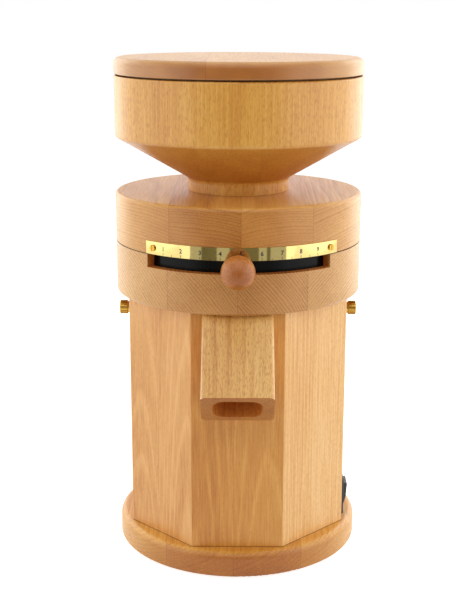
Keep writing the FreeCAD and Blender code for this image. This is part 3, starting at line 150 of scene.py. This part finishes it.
def beech(name, tones, turn=NO_TURN, board=57.0, first=0.0, seed=0.0, pith=(60.0, 120.0), reach=100.0, ring=2.8,
          late=0.30, fleck=0.3, fibre=0.6, boards=0.35, glue=0.35, end=0.35, lean=0.0, seam=None, bore=None,
          roughness=0.38, relief=0.12, lines=DARK_LINES, turned_after=100.0):
    """Beech planed, sanded and oiled: satin, with growth rings, short dark ray flecks, and boards of slightly
    different tone meeting at thin glue lines.

    Tones run from pale early wood to dark late wood. Board is a board's width, first the place of one glue line,
    pith and reach the way and the distance to the tree's middle, ring a growth ring's width and lean its slope
    along the grain. Late, fleck, fibre, boards, glue and end say how strongly each of these shows. Seam is the
    height of an open seam, where shade is painted as a dark line. Bore gives a slot's half width, its two
    depths and its end along the grain, and inside it shade is painted as a darker, redder tone. Boards after
    turned_after lie the other way round."""
    material, tree, shader = new_material(name, IOR=1.48, Specular_IOR_Level=0.6)
    local = place_in_mm(tree, turn=turn)

    # Which board a point lies in, how far across it, and that board's own three random numbers
    across = add(tree, "ShaderNodeSeparateXYZ", {0: local}, out="X")
    from_first = add(tree, "ShaderNodeMath", {0: across, 1: first}, operation="SUBTRACT")
    in_boards = add(tree, "ShaderNodeMath", {0: from_first, 1: board}, operation="DIVIDE")
    index = add(tree, "ShaderNodeMath", {0: in_boards}, operation="FLOOR")
    share = add(tree, "ShaderNodeMath", {0: in_boards}, operation="FRACT")
    draw = add(tree, "ShaderNodeMath", {0: index, 1: seed}, operation="ADD")
    chance = add(tree, "ShaderNodeTexWhiteNoise", {"W": draw}, out="Color", noise_dimensions="1D")

    # The board seen from its own pith, which lies outside the board
    middle = add(tree, "ShaderNodeMath", {0: share, 1: 0.5}, operation="SUBTRACT")
    turned = add(tree, "ShaderNodeMath", {0: index, 1: turned_after}, operation="GREATER_THAN")
    sided = add(tree, "ShaderNodeMath", {0: turned, 1: -2 * board, 2: board}, operation="MULTIPLY_ADD")
    in_board = add(tree, "ShaderNodeMath", {0: middle, 1: sided}, operation="MULTIPLY")
    depth = add(tree, "ShaderNodeSeparateXYZ", {0: local}, out="Y")
    along = add(tree, "ShaderNodeSeparateXYZ", {0: local}, out="Z")
    leaning = add(tree, "ShaderNodeMath", {0: along, 1: lean, 2: depth}, operation="MULTIPLY_ADD")
    of_board = add(tree, "ShaderNodeCombineXYZ", {0: in_board, 1: leaning, 2: along})
    to_pith = add(tree, "ShaderNodeVectorMath", {0: chance, 1: PITH_SPREAD, 2: (*pith, 0.0)},
                  operation="MULTIPLY_ADD")
    from_pith = add(tree, "ShaderNodeVectorMath", {0: of_board, 1: to_pith}, operation="ADD")

    # Growth rings: distance from the pith, wandering slowly along the grain, with uneven spacing
    stretched = add(tree, "ShaderNodeVectorMath", {0: from_pith, 1: per_mm(WANDER_SIZE)}, operation="MULTIPLY")
    wander = add(tree, "ShaderNodeTexNoise", {"Vector": stretched, "Scale": 1.0, "Detail": 2.0})
    flat = add(tree, "ShaderNodeVectorMath", {0: from_pith, 1: (1.0, 1.0, 0.0)}, operation="MULTIPLY")
    radius = add(tree, "ShaderNodeVectorMath", {0: flat}, out="Value", operation="LENGTH")
    wandered = add(tree, "ShaderNodeMath", {0: wander, 1: WANDER_REACH, 2: radius}, operation="MULTIPLY_ADD")
    spell = add(tree, "ShaderNodeMath", {0: wandered, 1: 1 / SPELL_LENGTH}, operation="MULTIPLY")
    uneven = add(tree, "ShaderNodeTexNoise", {"W": spell, "Scale": 1.0, "Detail": 1.0}, noise_dimensions="1D")
    spaced = add(tree, "ShaderNodeMath", {0: uneven, 1: SPELL_REACH, 2: wandered}, operation="MULTIPLY_ADD")
    in_rings = add(tree, "ShaderNodeMath", {0: spaced, 1: 1 / ring}, operation="MULTIPLY")
    phase = add(tree, "ShaderNodeMath", {0: in_rings}, operation="FRACT")
    late_wood = add(tree, "ShaderNodeValToRGB", {"Fac": phase}, stops=lines)

    # Ray flecks: thin spindles, dark on the board's face
    pith_x = add(tree, "ShaderNodeSeparateXYZ", {0: from_pith}, out="X")
    pith_y = add(tree, "ShaderNodeSeparateXYZ", {0: from_pith}, out="Y")
    bearing = add(tree, "ShaderNodeMath", {0: pith_x, 1: pith_y}, operation="ARCTAN2")
    round_it = add(tree, "ShaderNodeMath", {0: bearing, 1: reach / RAY_WIDTH}, operation="MULTIPLY")
    outward = add(tree, "ShaderNodeMath", {0: radius, 1: 1 / RAY_DEPTH}, operation="MULTIPLY")
    lengthwise = add(tree, "ShaderNodeMath", {0: along, 1: 1 / RAY_LENGTH}, operation="MULTIPLY")
    ray_place = add(tree, "ShaderNodeCombineXYZ", {0: round_it, 1: outward, 2: lengthwise})
    ray_noise = add(tree, "ShaderNodeTexNoise", {"Vector": ray_place, "Scale": 1.0, "Detail": 0.0})
    rays = add(tree, "ShaderNodeMapRange", {"Value": ray_noise, **RAY_NOISE})

    # Long fibres, and slow changes of tone within a board
    fibre_place = add(tree, "ShaderNodeVectorMath", {0: from_pith, 1: per_mm(FIBRE_SIZE)}, operation="MULTIPLY")
    fibres = add(tree, "ShaderNodeTexNoise", {"Vector": fibre_place, "Scale": 1.0, "Detail": 3.0})
    cloud_place = add(tree, "ShaderNodeVectorMath", {0: from_pith, 1: per_mm(CLOUD_SIZE)}, operation="MULTIPLY")
    clouds = add(tree, "ShaderNodeTexNoise", {"Vector": cloud_place, "Scale": 1.0, "Detail": 2.0})

    # Tone from all of these, about a middle that doesn't depend on their shares
    board_tone = add(tree, "ShaderNodeSeparateXYZ", {0: chance}, out="Z")
    start = MIDDLE_TONE - boards / 2 - late * LATE_MEAN - fibre / 2
    tone = add(tree, "ShaderNodeMath", {0: board_tone, 1: boards, 2: start}, operation="MULTIPLY_ADD")
    tone = add(tree, "ShaderNodeMath", {0: late_wood, 1: late, 2: tone}, operation="MULTIPLY_ADD")
    tone = add(tree, "ShaderNodeMath", {0: fibres, 1: fibre, 2: tone}, operation="MULTIPLY_ADD")
    tone = add(tree, "ShaderNodeMath", {0: clouds, 1: CLOUD_SHARE, 2: tone}, operation="MULTIPLY_ADD")
    wood = add(tree, "ShaderNodeValToRGB", {"Fac": tone}, stops=list(zip((0.0, 0.5, 1.0), tones)))
    ray_share = add(tree, "ShaderNodeMath", {0: rays, 1: fleck}, operation="MULTIPLY")
    wood = add(tree, "ShaderNodeMix", {0: ray_share, 6: wood, 7: RAY_STAIN}, **MULTIPLIED_ONTO_WOOD)

    # End grain drinks more oil and is browner
    grain = Matrix.Rotation(turn[0], 3, "X") @ Vector((0, 0, 1))
    facing = add(tree, "ShaderNodeTexCoord", out="Normal")
    end_on = add(tree, "ShaderNodeVectorMath", {0: facing, 1: tuple(grain)}, out="Value", operation="DOT_PRODUCT")
    end_on = add(tree, "ShaderNodeMath", {0: end_on}, operation="ABSOLUTE")
    end_share = add(tree, "ShaderNodeMapRange", {"Value": end_on, **END_GRAIN, "To Max": end})
    wood = add(tree, "ShaderNodeMix", {0: end_share, 6: wood, 7: END_STAIN}, **MULTIPLIED_ONTO_WOOD)

    # Thin glue lines between boards, and painted shade in the open seam between two layers and inside the bore
    from_line = add(tree, "ShaderNodeMath", {0: share, 1: 0.5}, operation="PINGPONG")
    line_mm = add(tree, "ShaderNodeMath", {0: from_line, 1: board}, operation="MULTIPLY")
    line_share = add(tree, "ShaderNodeMapRange", {"Value": line_mm, **GLUE_LINE, "To Min": glue, "To Max": 0.0})
    wood = add(tree, "ShaderNodeMix", {0: line_share, 6: wood, 7: GLUE_STAIN}, **MULTIPLIED_ONTO_WOOD)
    # Painted shade in the open seam: a dark line, made rougher so that it doesn't shine
    if seam is not None:
        level = add(tree, "ShaderNodeSeparateXYZ", {0: place_in_mm(tree)}, out="Z")
        from_seam = add(tree, "ShaderNodeMath", {0: level, 1: seam}, operation="SUBTRACT")
        from_seam = add(tree, "ShaderNodeMath", {0: from_seam}, operation="ABSOLUTE")
        dark = add(tree, "ShaderNodeMapRange", {"Value": from_seam, **OPEN_SEAM, "To Max": 0.0})
        wood = add(tree, "ShaderNodeMix", {0: dark, 6: wood, 7: SEAM_PAINTED_SHADE}, **MULTIPLIED_ONTO_WOOD)
    # Painted shade inside the bore: its walls and floor made darker and redder
    if bore is not None:
        half_width, near, far, end_along = bore
        aside = add(tree, "ShaderNodeMath", {0: across}, operation="ABSOLUTE")
        between = add(tree, "ShaderNodeMath", {0: aside, 1: half_width}, operation="LESS_THAN")
        below = add(tree, "ShaderNodeMath", {0: depth, 1: near}, operation="GREATER_THAN")
        above = add(tree, "ShaderNodeMath", {0: depth, 1: far}, operation="LESS_THAN")
        wall = add(tree, "ShaderNodeMath", {0: end_on, 1: BORE_WALL}, operation="LESS_THAN")
        ahead = add(tree, "ShaderNodeMath", {0: along, 1: end_along}, operation="LESS_THAN")
        within = add(tree, "ShaderNodeMath", {0: below, 1: above}, operation="MULTIPLY")
        for limit in (between, wall, ahead):
            within = add(tree, "ShaderNodeMath", {0: within, 1: limit}, operation="MULTIPLY")
        wood = add(tree, "ShaderNodeMix", {0: within, 6: wood, 7: BORE_PAINTED_SHADE}, **MULTIPLIED_ONTO_WOOD)
    tree.links.new(wood, shader.inputs["Base Color"])

    gloss = add(tree, "ShaderNodeMapRange", {
        "Value": fibres, "From Min": 0.3, "From Max": 0.7,
        "To Min": roughness - GLOSS_SPREAD, "To Max": roughness + GLOSS_SPREAD,
    })
    if seam is not None:
        gloss = add(tree, "ShaderNodeMath", {0: gloss, 1: dark}, operation="MAXIMUM")
    tree.links.new(gloss, shader.inputs["Roughness"])
    height = add(tree, "ShaderNodeMath", {0: rays, 1: RAY_RELIEF, 2: fibres}, operation="MULTIPLY_ADD")
    bumped = add(tree, "ShaderNodeBump", {"Height": height, "Strength": relief, "Distance": RELIEF_HEIGHT})
    tree.links.new(bumped, shader.inputs["Normal"])
    return material


def speckled(name, stops, size, rough, bump=0.1, stretch=(1.0, 1.0, 1.0), **sockets):
    """A material whose colour, gloss and relief come from one noise of a grain size in millimetres, which
    may be drawn out along an axis: rolled, cast, moulded, ground or pressed surfaces. Grain finer than about half
    a millimetre is drawn that coarse, so that it shows."""
    material, tree, shader = new_material(name, **sockets)
    local = place_in_mm(tree)
    scale = per_mm([size * part for part in stretch])
    drawn = add(tree, "ShaderNodeVectorMath", {0: local, 1: scale}, operation="MULTIPLY")
    grains = add(tree, "ShaderNodeTexNoise", {"Vector": drawn, "Scale": 1.0, "Detail": 4.0, "Roughness": 0.6})
    spread = add(tree, "ShaderNodeMapRange", {"Value": grains, "From Min": 0.3, "From Max": 0.7})
    colour = add(tree, "ShaderNodeValToRGB", {"Fac": spread}, stops=stops)
    tree.links.new(colour, shader.inputs["Base Color"])
    gloss = add(tree, "ShaderNodeMapRange", {"Value": spread, "To Min": rough[0], "To Max": rough[1]})
    tree.links.new(gloss, shader.inputs["Roughness"])
    bumped = add(tree, "ShaderNodeBump", {"Height": grains, "Strength": bump, "Distance": RELIEF_HEIGHT})
    tree.links.new(bumped, shader.inputs["Normal"])
    return material


# Stacked sheets: the noise in them, per millimetre, and the shares of that noise and of a sheet's own tone
SHEET_NOISE = 0.6
SHEET_NOISE_SHARE = 0.5
SHEET_NOISE_START = -0.15
SHEET_TONE_SHARE = 0.8


def layered(name, stops, layer, rough, **sockets):
    """Thin sheets stacked upwards, as in plywood or a motor's laminated core: bands of a layer's thickness
    with a little noise."""
    material, tree, shader = new_material(name, **sockets)
    local = place_in_mm(tree)
    level = add(tree, "ShaderNodeSeparateXYZ", {0: local}, out="Z")
    sheets = add(tree, "ShaderNodeMath", {0: level, 1: 1 / layer}, operation="MULTIPLY")
    index = add(tree, "ShaderNodeMath", {0: sheets}, operation="FLOOR")
    tone = add(tree, "ShaderNodeTexWhiteNoise", {"W": index}, noise_dimensions="1D")
    grains = add(tree, "ShaderNodeTexNoise", {"Vector": local, "Scale": SHEET_NOISE, "Detail": 3.0})
    mixed = add(tree, "ShaderNodeMath", {0: grains, 1: SHEET_NOISE_SHARE, 2: SHEET_NOISE_START},
                operation="MULTIPLY_ADD")
    summed = add(tree, "ShaderNodeMath", {0: tone, 1: SHEET_TONE_SHARE, 2: mixed}, operation="MULTIPLY_ADD")
    colour = add(tree, "ShaderNodeValToRGB", {"Fac": summed}, stops=stops)
    tree.links.new(colour, shader.inputs["Base Color"])
    gloss = add(tree, "ShaderNodeMapRange", {"Value": grains, "To Min": rough[0], "To Max": rough[1]})
    tree.links.new(gloss, shader.inputs["Roughness"])
    return material


def dress(material, *names):
    """Gives CAD pieces a material."""
    for name in names:
        slots = nodes[name].data.materials
        slots.clear()
        slots.append(material)


# Oiled beech of the housing, honey to orange: each panel has its own tones, boards and lean of the growth rings
HONEY = ("#eebc76", "#dea256", "#bc6c26")
ORANGE = ("#e4aa56", "#d08e3c", "#ae641c")
PINK = ("#f0ba78", "#dea258", "#be702a")
PALE = ("#f6cf94", "#ebb872", "#ce8436")
PANEL_WOODS = {
    "front": (ORANGE, 11.0, 0.03), "front_right": (PALE, 23.0, 0.0), "right": (HONEY, 37.0, 0.05),
    "rear_right": (ORANGE, 41.0, 0.0), "rear": (HONEY, 53.0, 0.06), "rear_left": (PALE, 67.0, 0.0),
    "left": (HONEY, 71.0, 0.05), "front_left": (PINK, 89.0, 0.04),
}
PANEL_STEP = math.radians(45)
# Where the tree's middle lies: behind a plain-sawn board, and off to the side of a rift-sawn one
PLAIN_SAWN = (-30.0, 120.0)
RIFT_SAWN = (50.0, 120.0)
BASE_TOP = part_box("base_plate")[1].z / MM
# Each panel gets painted shade as a dark line at its foot, where it stands on the base
for step, (side, (tones, seed, lean)) in enumerate(PANEL_WOODS.items()):
    wood = beech(f"oiled_beech_panel_{side}", tones, turn=(0.0, 0.0, PANEL_STEP * step), board=42.0, first=-3.0,
                 seed=seed, pith=PLAIN_SAWN if lean else RIFT_SAWN, reach=90.0, ring=3.2, late=0.5, fleck=0.2,
                 fibre=0.9, boards=0.2, glue=0.15, lean=lean, seam=BASE_TOP, lines=PALE_LINES)
    dress(wood, f"panel_{side}")

# Oiled beech of the other outer pieces, with painted shade in the seam between the head's layers and in the one
# under the lid's rim
HEAD_SEAM = 273.5
LID_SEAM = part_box("hopper")[1].z / MM + 1.0
# Bores, in which shade is painted, by their half width, near and far depth, and end along the grain, as each
# piece's grain lies
SPOUT_CHANNEL = (19.8, -223.9, -195.8, 500.0)
LEVER_SLOT = (73.0, -273.4, -262.5, -50.0)
dress(beech("oiled_beech_spout", ("#f0ca88", "#deae62", "#b8722a"), turn=DOWN_THE_SPOUT, board=120.0,
            first=-60.0, seed=5.0, pith=(10.0, 90.0), late=0.18, fleck=0.4, end=0.9, bore=SPOUT_CHANNEL),
      "spout")
dress(beech("oiled_beech_base", ("#e2ab52", "#cc8d38", "#a6641a"), turn=FRONT_TO_BACK, first=-3.1, seed=1251.0,
            pith=(50.0, 130.0), late=0.28, fleck=0.12, fibre=0.9, boards=0.6, end=0.8),
      "base_plate")
dress(beech("oiled_beech_head_ring", ("#e5b774", "#d19e59", "#a96d2e"), turn=FRONT_TO_BACK, board=56.2,
            first=-0.4, seed=2207.0, pith=(140.0, 60.0), ring=2.2, late=0.6, fleck=0.1, fibre=0.8, end=0.45,
            seam=HEAD_SEAM, bore=LEVER_SLOT, turned_after=0.5),
      "head_lower_ring")
dress(beech("oiled_beech_head_disc", ("#e3ae5e", "#cf9443", "#aa6820"), turn=FRONT_TO_BACK, first=2.3, seed=11.0,
            pith=(-30.0, 150.0), ring=2.6, late=0.42, fleck=0.1, fibre=0.7, end=0.6, seam=HEAD_SEAM),
      "head_upper_disc")
dress(beech("oiled_beech_hopper", ("#efbc64", "#dba046", "#b96f22"), board=50.0, first=18.0, seed=19.0,
            pith=(-20.0, 190.0), reach=120.0, ring=2.2, late=0.4, fleck=0.36, boards=0.3, glue=0.1, end=0.5,
            lines=PALE_LINES),
      "hopper", "hopper_peg")
dress(beech("oiled_beech_lid", ("#e6b678", "#d09c5c", "#a86e38"), turn=FRONT_TO_BACK, board=130.0, first=-25.0,
            seed=29.0, pith=(60.0, 140.0), late=0.1, fleck=0.02, fibre=0.2, boards=0.5, end=0.9, seam=LID_SEAM,
            relief=0.0, lines=PALE_LINES),
      "hopper_lid")
dress(beech("oiled_beech_ball", ("#d28e36", "#b66e24", "#8a4a10"), turn=FRONT_TO_BACK, board=80.0, first=-40.0,
            seed=31.0, pith=(-10.0, 30.0), ring=1.6, late=0.2, fleck=0.3, end=0.5, roughness=0.42),
      "ball_knob")

# Beech inside, left raw and dull: the chamber floor and the dowels, upright
dress(beech("raw_beech_inside", HONEY, board=60.0, first=-30.0, seed=43.0, pith=(40.0, 160.0), roughness=0.6),
      "chamber_floor", "head_dowels")

# Birch plywood of the deck, sawn: pale and brown bands of veneers 1.5 mm thick
dress(layered("birch_plywood", [(0.0, "#b98f5c"), (0.5, "#d9b988"), (1.0, "#ead3aa")], 1.5, (0.5, 0.7)),
      "motor_deck")

# Brass sheet, rolled and polished: mirrors the studio, with faint rolling lines along the strip
dress(speckled("polished_brass", [(0.0, "#bca868"), (1.0, "#ccb87a")], 0.6, (0.05, 0.08), bump=0.002,
               stretch=(8.0, 8.0, 0.5), Metallic=1.0),
      "scale_strip")

# Brass rod, turned and knurled: deeper yellow, with a softer shine
dress(speckled("turned_brass", [(0.0, "#a67c32"), (1.0, "#d2a84e")], 0.5, (0.20, 0.32), bump=0.04, Metallic=1.0),
      "scale_screws", "thumb_screw_left", "thumb_screw_right", "thumb_washer_left", "thumb_washer_right",
      "thumb_inserts", "inlet_pins")

# Steel, ground or zinc-plated: light grey with a soft shine
dress(speckled("bright_steel", [(0.0, "#8f9092"), (1.0, "#b9babb")], 0.7, (0.22, 0.38), bump=0.05, Metallic=1.0),
      "base_screws", "spout_screws", "floor_screws", "guide_pins", "lever_rod", "flour_sweeper",
      "runner_washer", "runner_bolt", "motor_shaft", "bearing_outer_rings", "bearing_inner_rings", "bearing_balls",
      "motor_bolts", "inlet_screws", "capacitor_clamp")

# Corundum-ceramic millstone: pale grit of 1 to 2 mm in a lighter bond, dry and rough
MILLSTONE_GRIT = [(0.0, "#8f8a82"), (0.45, "#bdb7ac"), (0.75, "#d6d1c6"), (1.0, "#efebe2")]
dress(speckled("corundum_millstone", MILLSTONE_GRIT, 1.4, (0.75, 0.95), bump=0.8), "stator_stone", "runner_stone")

# Black polymer, glossy from the mould
dress(speckled("moulded_black_polymer", [(0.0, "#050505"), (1.0, "#0a0a0a")], 1.2, (0.18, 0.26), bump=0.02,
               Specular_IOR_Level=0.1),
      "adjusting_ring", "stone_carrier")

# Switch plastic, moulded with a fine texture, so that it is dull
dress(speckled("textured_switch_plastic", [(0.0, "#1c1d1f"), (1.0, "#2b2c2e")], 0.5, (0.38, 0.5), bump=0.15),
      "switch_body", "switch_rocker", "inlet_body", "cooling_fan")

# Wool felt, pressed: matt, with fibres drawn 0.6 mm wide so that they show
dress(speckled("wool_felt", [(0.0, "#8d8578"), (1.0, "#c4bcae")], 0.6, (0.9, 1.0), bump=0.9), "shaft_seal")

# Rubber, moulded: near black and matt
dress(speckled("moulded_rubber", [(0.0, "#151515"), (1.0, "#242424")], 0.7, (0.7, 0.85), bump=0.3), "rubber_feet")

# Aluminium, cast: grey and faintly rough
dress(speckled("cast_aluminium", [(0.0, "#8c8e90"), (1.0, "#aeb0b1")], 0.9, (0.45, 0.6), bump=0.4, Metallic=1.0),
      "upper_bell", "lower_bell", "runner_hub")

# Core steel, stamped from sheets of 0.5 mm: dark grey bands
dress(layered("laminated_core_steel", [(0.0, "#4a4a4c"), (1.0, "#7c7c7e")], 0.5, (0.4, 0.6), Metallic=1.0),
      "stator_core", "rotor_core")

# Copper wire of 0.8 mm, enamelled and wound: red-brown and shiny, with strands along the coil
dress(speckled("enamelled_copper", [(0.0, "#6e2f12"), (1.0, "#b4602c")], 0.8, (0.25, 0.4), bump=0.6,
               stretch=(6.0, 6.0, 1.0), Metallic=1.0),
      "coil_heads")

# Capacitor can, drawn and lacquered: pale grey, half dull
dress(speckled("drawn_can", [(0.0, "#c4c4c2"), (1.0, "#dededc")], 1.0, (0.35, 0.5)), "capacitor")

# PVC of the leads, extruded: brown and half dull
dress(speckled("soft_pvc_insulation", [(0.0, "#5a3a22"), (1.0, "#6b4629")], 1.0, (0.45, 0.6)), "inner_leads")

# Filler of the engraved figures, dull black, and print on the rocker, dull white
figure_black = speckled("engraving_filler_black", [(0.0, "#0a0906"), (1.0, "#15130e")], 0.4, (0.5, 0.6))
mark_white = speckled("printed_white", [(0.0, "#d8d8d4"), (1.0, "#e8e8e4")], 0.4, (0.5, 0.6))


def finish_piece(shape, name, material, body):
    """Makes an object of a bmesh, gives it a finish and lets it ride on a body."""
    mesh = bpy.data.meshes.new(name)
    shape.to_mesh(mesh)
    shape.free()
    mesh.materials.append(material)
    piece = bpy.data.objects.new(name, mesh)
    bpy.context.scene.collection.objects.link(piece)
    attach(piece, body)


# A figure's height in its type size, and how far its strokes are thickened, as a share of its height
TYPE_SHARE = 0.7
BOLD_SHARE = 1 / 28
INK = 0.06 * MM


def text_into(shape, text, height, place):
    """Adds a raised character to a bmesh. It stands in the XZ plane, faces -Y, is centred on the origin, and is
    then put in its place by a matrix."""
    curve = bpy.data.curves.new("character", "FONT")
    curve.body = text
    curve.size = height / TYPE_SHARE
    curve.extrude = INK / 2
    curve.offset = height * BOLD_SHARE
    curve.align_x = "CENTER"
    curve.resolution_u = 3
    holder = bpy.data.objects.new("character", curve)
    bpy.context.scene.collection.objects.link(holder)
    bpy.context.view_layer.update()
    mesh = bpy.data.meshes.new_from_object(holder.evaluated_get(bpy.context.evaluated_depsgraph_get()))
    bpy.data.objects.remove(holder)
    levels = [vertex.co.y for vertex in mesh.vertices]
    mesh.transform(Matrix.Translation((0, -(min(levels) + max(levels)) / 2, 0)))
    mesh.transform(place @ Matrix.Rotation(QUARTER_TURN, 4, "X"))
    shape.from_mesh(mesh)
    bpy.data.meshes.remove(mesh)


# Scale: nine figures over long ticks, and short ticks halfway, on the strip's outer face
FIGURES = "123456789"
FIGURE_STEP = math.radians(8.88)
FIGURE_MIDDLE = math.radians(1.3)
FIGURE_HEIGHT = 3.5 * MM
FIGURE_DROP = 4.9 * MM
LONG_TICK = 2.0 * MM
SHORT_TICK = 1.1 * MM
TICK_WIDTH = 0.45 * MM
TICK_MARGIN = 0.35 * MM


def scale_figures():
    """The strip's figures and ticks, laid flat in front of it and then rolled onto its face."""
    strip_low, strip_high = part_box("scale_strip")
    strip_radius = -strip_low.y
    shape = bmesh.new()
    ticks = 2 * len(FIGURES) - 1
    for place in range(ticks):
        along = (place - ticks // 2) / 2 * FIGURE_STEP * strip_radius
        tick = SHORT_TICK if place % 2 else LONG_TICK
        box = bmesh.ops.create_cube(shape, size=1.0)
        bmesh.ops.scale(shape, vec=(TICK_WIDTH, INK, tick), verts=box["verts"])
        bmesh.ops.translate(shape, vec=(along, 0, strip_low.z + TICK_MARGIN + tick / 2), verts=box["verts"])
        if place % 2 == 0:
            spot = Matrix.Translation((along, 0, strip_high.z - FIGURE_DROP))
            text_into(shape, FIGURES[place // 2], FIGURE_HEIGHT, spot)
    for vertex in shape.verts:
        turn = vertex.co.x / strip_radius + FIGURE_MIDDLE
        out = strip_radius - vertex.co.y
        vertex.co = (out * math.sin(turn), -out * math.cos(turn), vertex.co.z)
    finish_piece(shape, "scale_figures", figure_black, "head")


# Rocker: a stroke on the upper half and a ring on the lower, on faces that fall 1.2 mm over 12.4 mm from the ridge
ROCKER_TILT = math.radians(10)
ROCKER_FALL = math.atan(1.2 / 12.4)
ROCKER_RIDGE = 8.6 * MM
MARK_HEIGHT = 4.5 * MM
MARK_PLACE = 6.5 * MM


def rocker_marks():
    """The rocker's two printed marks, facing out of the right panel."""
    pivot = next(joint["pos_m"] for joint in frame["joints"] if joint["name"] == "rocker_tilt")
    tilted = Matrix.Translation(pivot) @ Matrix.Rotation(ROCKER_TILT, 4, "Y")
    ridge = tilted @ Matrix.Translation((ROCKER_RIDGE, 0, 0))
    shape = bmesh.new()
    for text, side in (("I", 1), ("O", -1)):
        face = Matrix.Rotation(-side * ROCKER_FALL, 4, "Y") @ Matrix.Translation((0, 0, side * MARK_PLACE))
        text_into(shape, text, MARK_HEIGHT, ridge @ face @ Matrix.Rotation(QUARTER_TURN, 4, "Z"))
    finish_piece(shape, "rocker_marks", mark_white, "rocker")


scale_figures()
rocker_marks()

# Studio: soft boxes at both sides, behind and above, and a dim one in front, by place, width and height, and watts
SOFT_BOXES = {
    "left_box": ((-1.3, -0.35, 0.45), (1.8, 1.8), 14.0),
    "right_box": ((1.3, -0.35, 0.45), (1.8, 1.8), 16.0),
    "left_rim": ((-1.0, 1.0, 0.5), (1.0, 1.4), 9.0),
    "right_rim": ((1.0, 1.0, 0.5), (1.0, 1.4), 10.0),
    "top_box": ((0.0, -0.1, 1.55), (1.4, 1.0), 5.0),
    "front_box": ((0.0, -1.3, 1.5), (1.2, 0.5), 4.2),
    "rear_box": ((0.0, 1.6, 0.75), (2.0, 1.0), 4.5),
}
MILL_MIDDLE = Vector((0.0, 0.0, 0.22))
for name, (place, size, power) in SOFT_BOXES.items():
    lamp = bpy.data.lights.new(name, "AREA")
    lamp.shape = "RECTANGLE"
    lamp.size, lamp.size_y = size
    lamp.energy = power
    holder = bpy.data.objects.new(name, lamp)
    bpy.context.scene.collection.objects.link(holder)
    holder.location = place
    holder.rotation_euler = (MILL_MIDDLE - Vector(place)).to_track_quat("-Z", "Y").to_euler()

# World: white to the camera, a little dimmer in reflections, and a weak fill light
WORLD_IN_SHINE = 0.75
WORLD_FILL = 0.32
world = bpy.data.worlds.new("studio")
bpy.context.scene.world = world
world.use_nodes = True
sky = world.node_tree
sky.nodes.clear()
path = sky.nodes.new("ShaderNodeLightPath").outputs
seen = add(sky, "ShaderNodeMath", {0: path["Is Camera Ray"], 1: path["Is Transmission Ray"]}, operation="MAXIMUM")
seen = add(sky, "ShaderNodeMath", {0: path["Is Glossy Ray"], 1: WORLD_IN_SHINE, 2: seen}, operation="MULTIPLY_ADD")
level = add(sky, "ShaderNodeMath", {0: seen, 1: WORLD_FILL}, operation="MAXIMUM")
background = add(sky, "ShaderNodeBackground", {"Color": WHITE, "Strength": level})
add(sky, "ShaderNodeOutputWorld", {"Surface": background})


def white_seen(tree, surface, strength):
    """Adds white for rays from the camera and for reflections, over a lit surface."""
    path = tree.nodes.new("ShaderNodeLightPath").outputs
    seen = add(tree, "ShaderNodeMath", {0: path["Is Camera Ray"], 1: path["Is Glossy Ray"]}, operation="MAXIMUM")
    seen = add(tree, "ShaderNodeMath", {0: seen, 1: path["Is Transmission Ray"]}, operation="MAXIMUM")
    level = add(tree, "ShaderNodeMath", {0: seen, 1: strength}, operation="MULTIPLY")
    glow = add(tree, "ShaderNodeEmission", {"Color": WHITE, "Strength": level})
    return add(tree, "ShaderNodeAddShader", {0: surface, 1: glow})


def sheet(name, size, place, turn, colour, glow):
    """A flat studio sheet: lit paper, which adds its own white for the camera, or dark cloth, which the camera
    doesn't see."""
    mesh = bpy.data.meshes.new(name)
    shape = bmesh.new()
    bmesh.ops.create_grid(shape, x_segments=1, y_segments=1, size=0.5)
    bmesh.ops.scale(shape, vec=(*size, 1.0), verts=shape.verts)
    shape.to_mesh(mesh)
    shape.free()
    mesh.transform(Matrix.Translation(place) @ Matrix.Rotation(turn, 4, "X"))
    holder = bpy.data.objects.new(name, mesh)
    bpy.context.scene.collection.objects.link(holder)
    holder.visible_camera = glow > 0
    material = bpy.data.materials.new(name)
    material.use_nodes = True
    tree = material.node_tree
    tree.nodes.clear()
    lit = add(tree, "ShaderNodeBsdfDiffuse", {"Color": srgb(colour)})
    add(tree, "ShaderNodeOutputMaterial", {"Surface": white_seen(tree, lit, glow) if glow else lit})
    mesh.materials.append(material)


# White floor that ends in front, and dark flags behind the camera, which the brass mirrors, by place and width
FLAGS = ((-0.75, 0.46), (0.15, 0.70), (0.78, 0.11))
FLAG_HEIGHT = 1.3
FLAG_BACK = -1.55
FLAG_MIDDLE = 0.25
sheet("white_studio_floor", (8.0, 6.9), (0.0, 2.55, 0.0), 0.0, "#dcdad6", 0.85)
for place, width in FLAGS:
    sheet("dark_studio_flag", (width, FLAG_HEIGHT), (place, FLAG_BACK, FLAG_MIDDLE), QUARTER_TURN, "#989482", 0.0)

# Camera fitted to the photograph's frame of 475 by 612 pixels
CAMERA_PLACE = (0.0, -0.9973, 0.4664)
CAMERA_TILT = math.radians(76.17)
CAMERA_ROLL = math.radians(0.2)
camera_data = bpy.data.cameras.new("camera")
camera_data.sensor_fit = "AUTO"
camera_data.sensor_width = 36.0
camera_data.lens = 68.85
camera_data.shift_x = -0.0008
camera_data.shift_y = -0.0180
camera = bpy.data.objects.new("camera", camera_data)
bpy.context.scene.collection.objects.link(camera)
camera.matrix_world = (
    Matrix.Translation(CAMERA_PLACE)
    @ Matrix.Rotation(CAMERA_TILT, 4, "X")
    @ Matrix.Rotation(CAMERA_ROLL, 4, "Z")
)
bpy.context.scene.camera = camera
bpy.context.scene.view_settings.view_transform = "Standard"
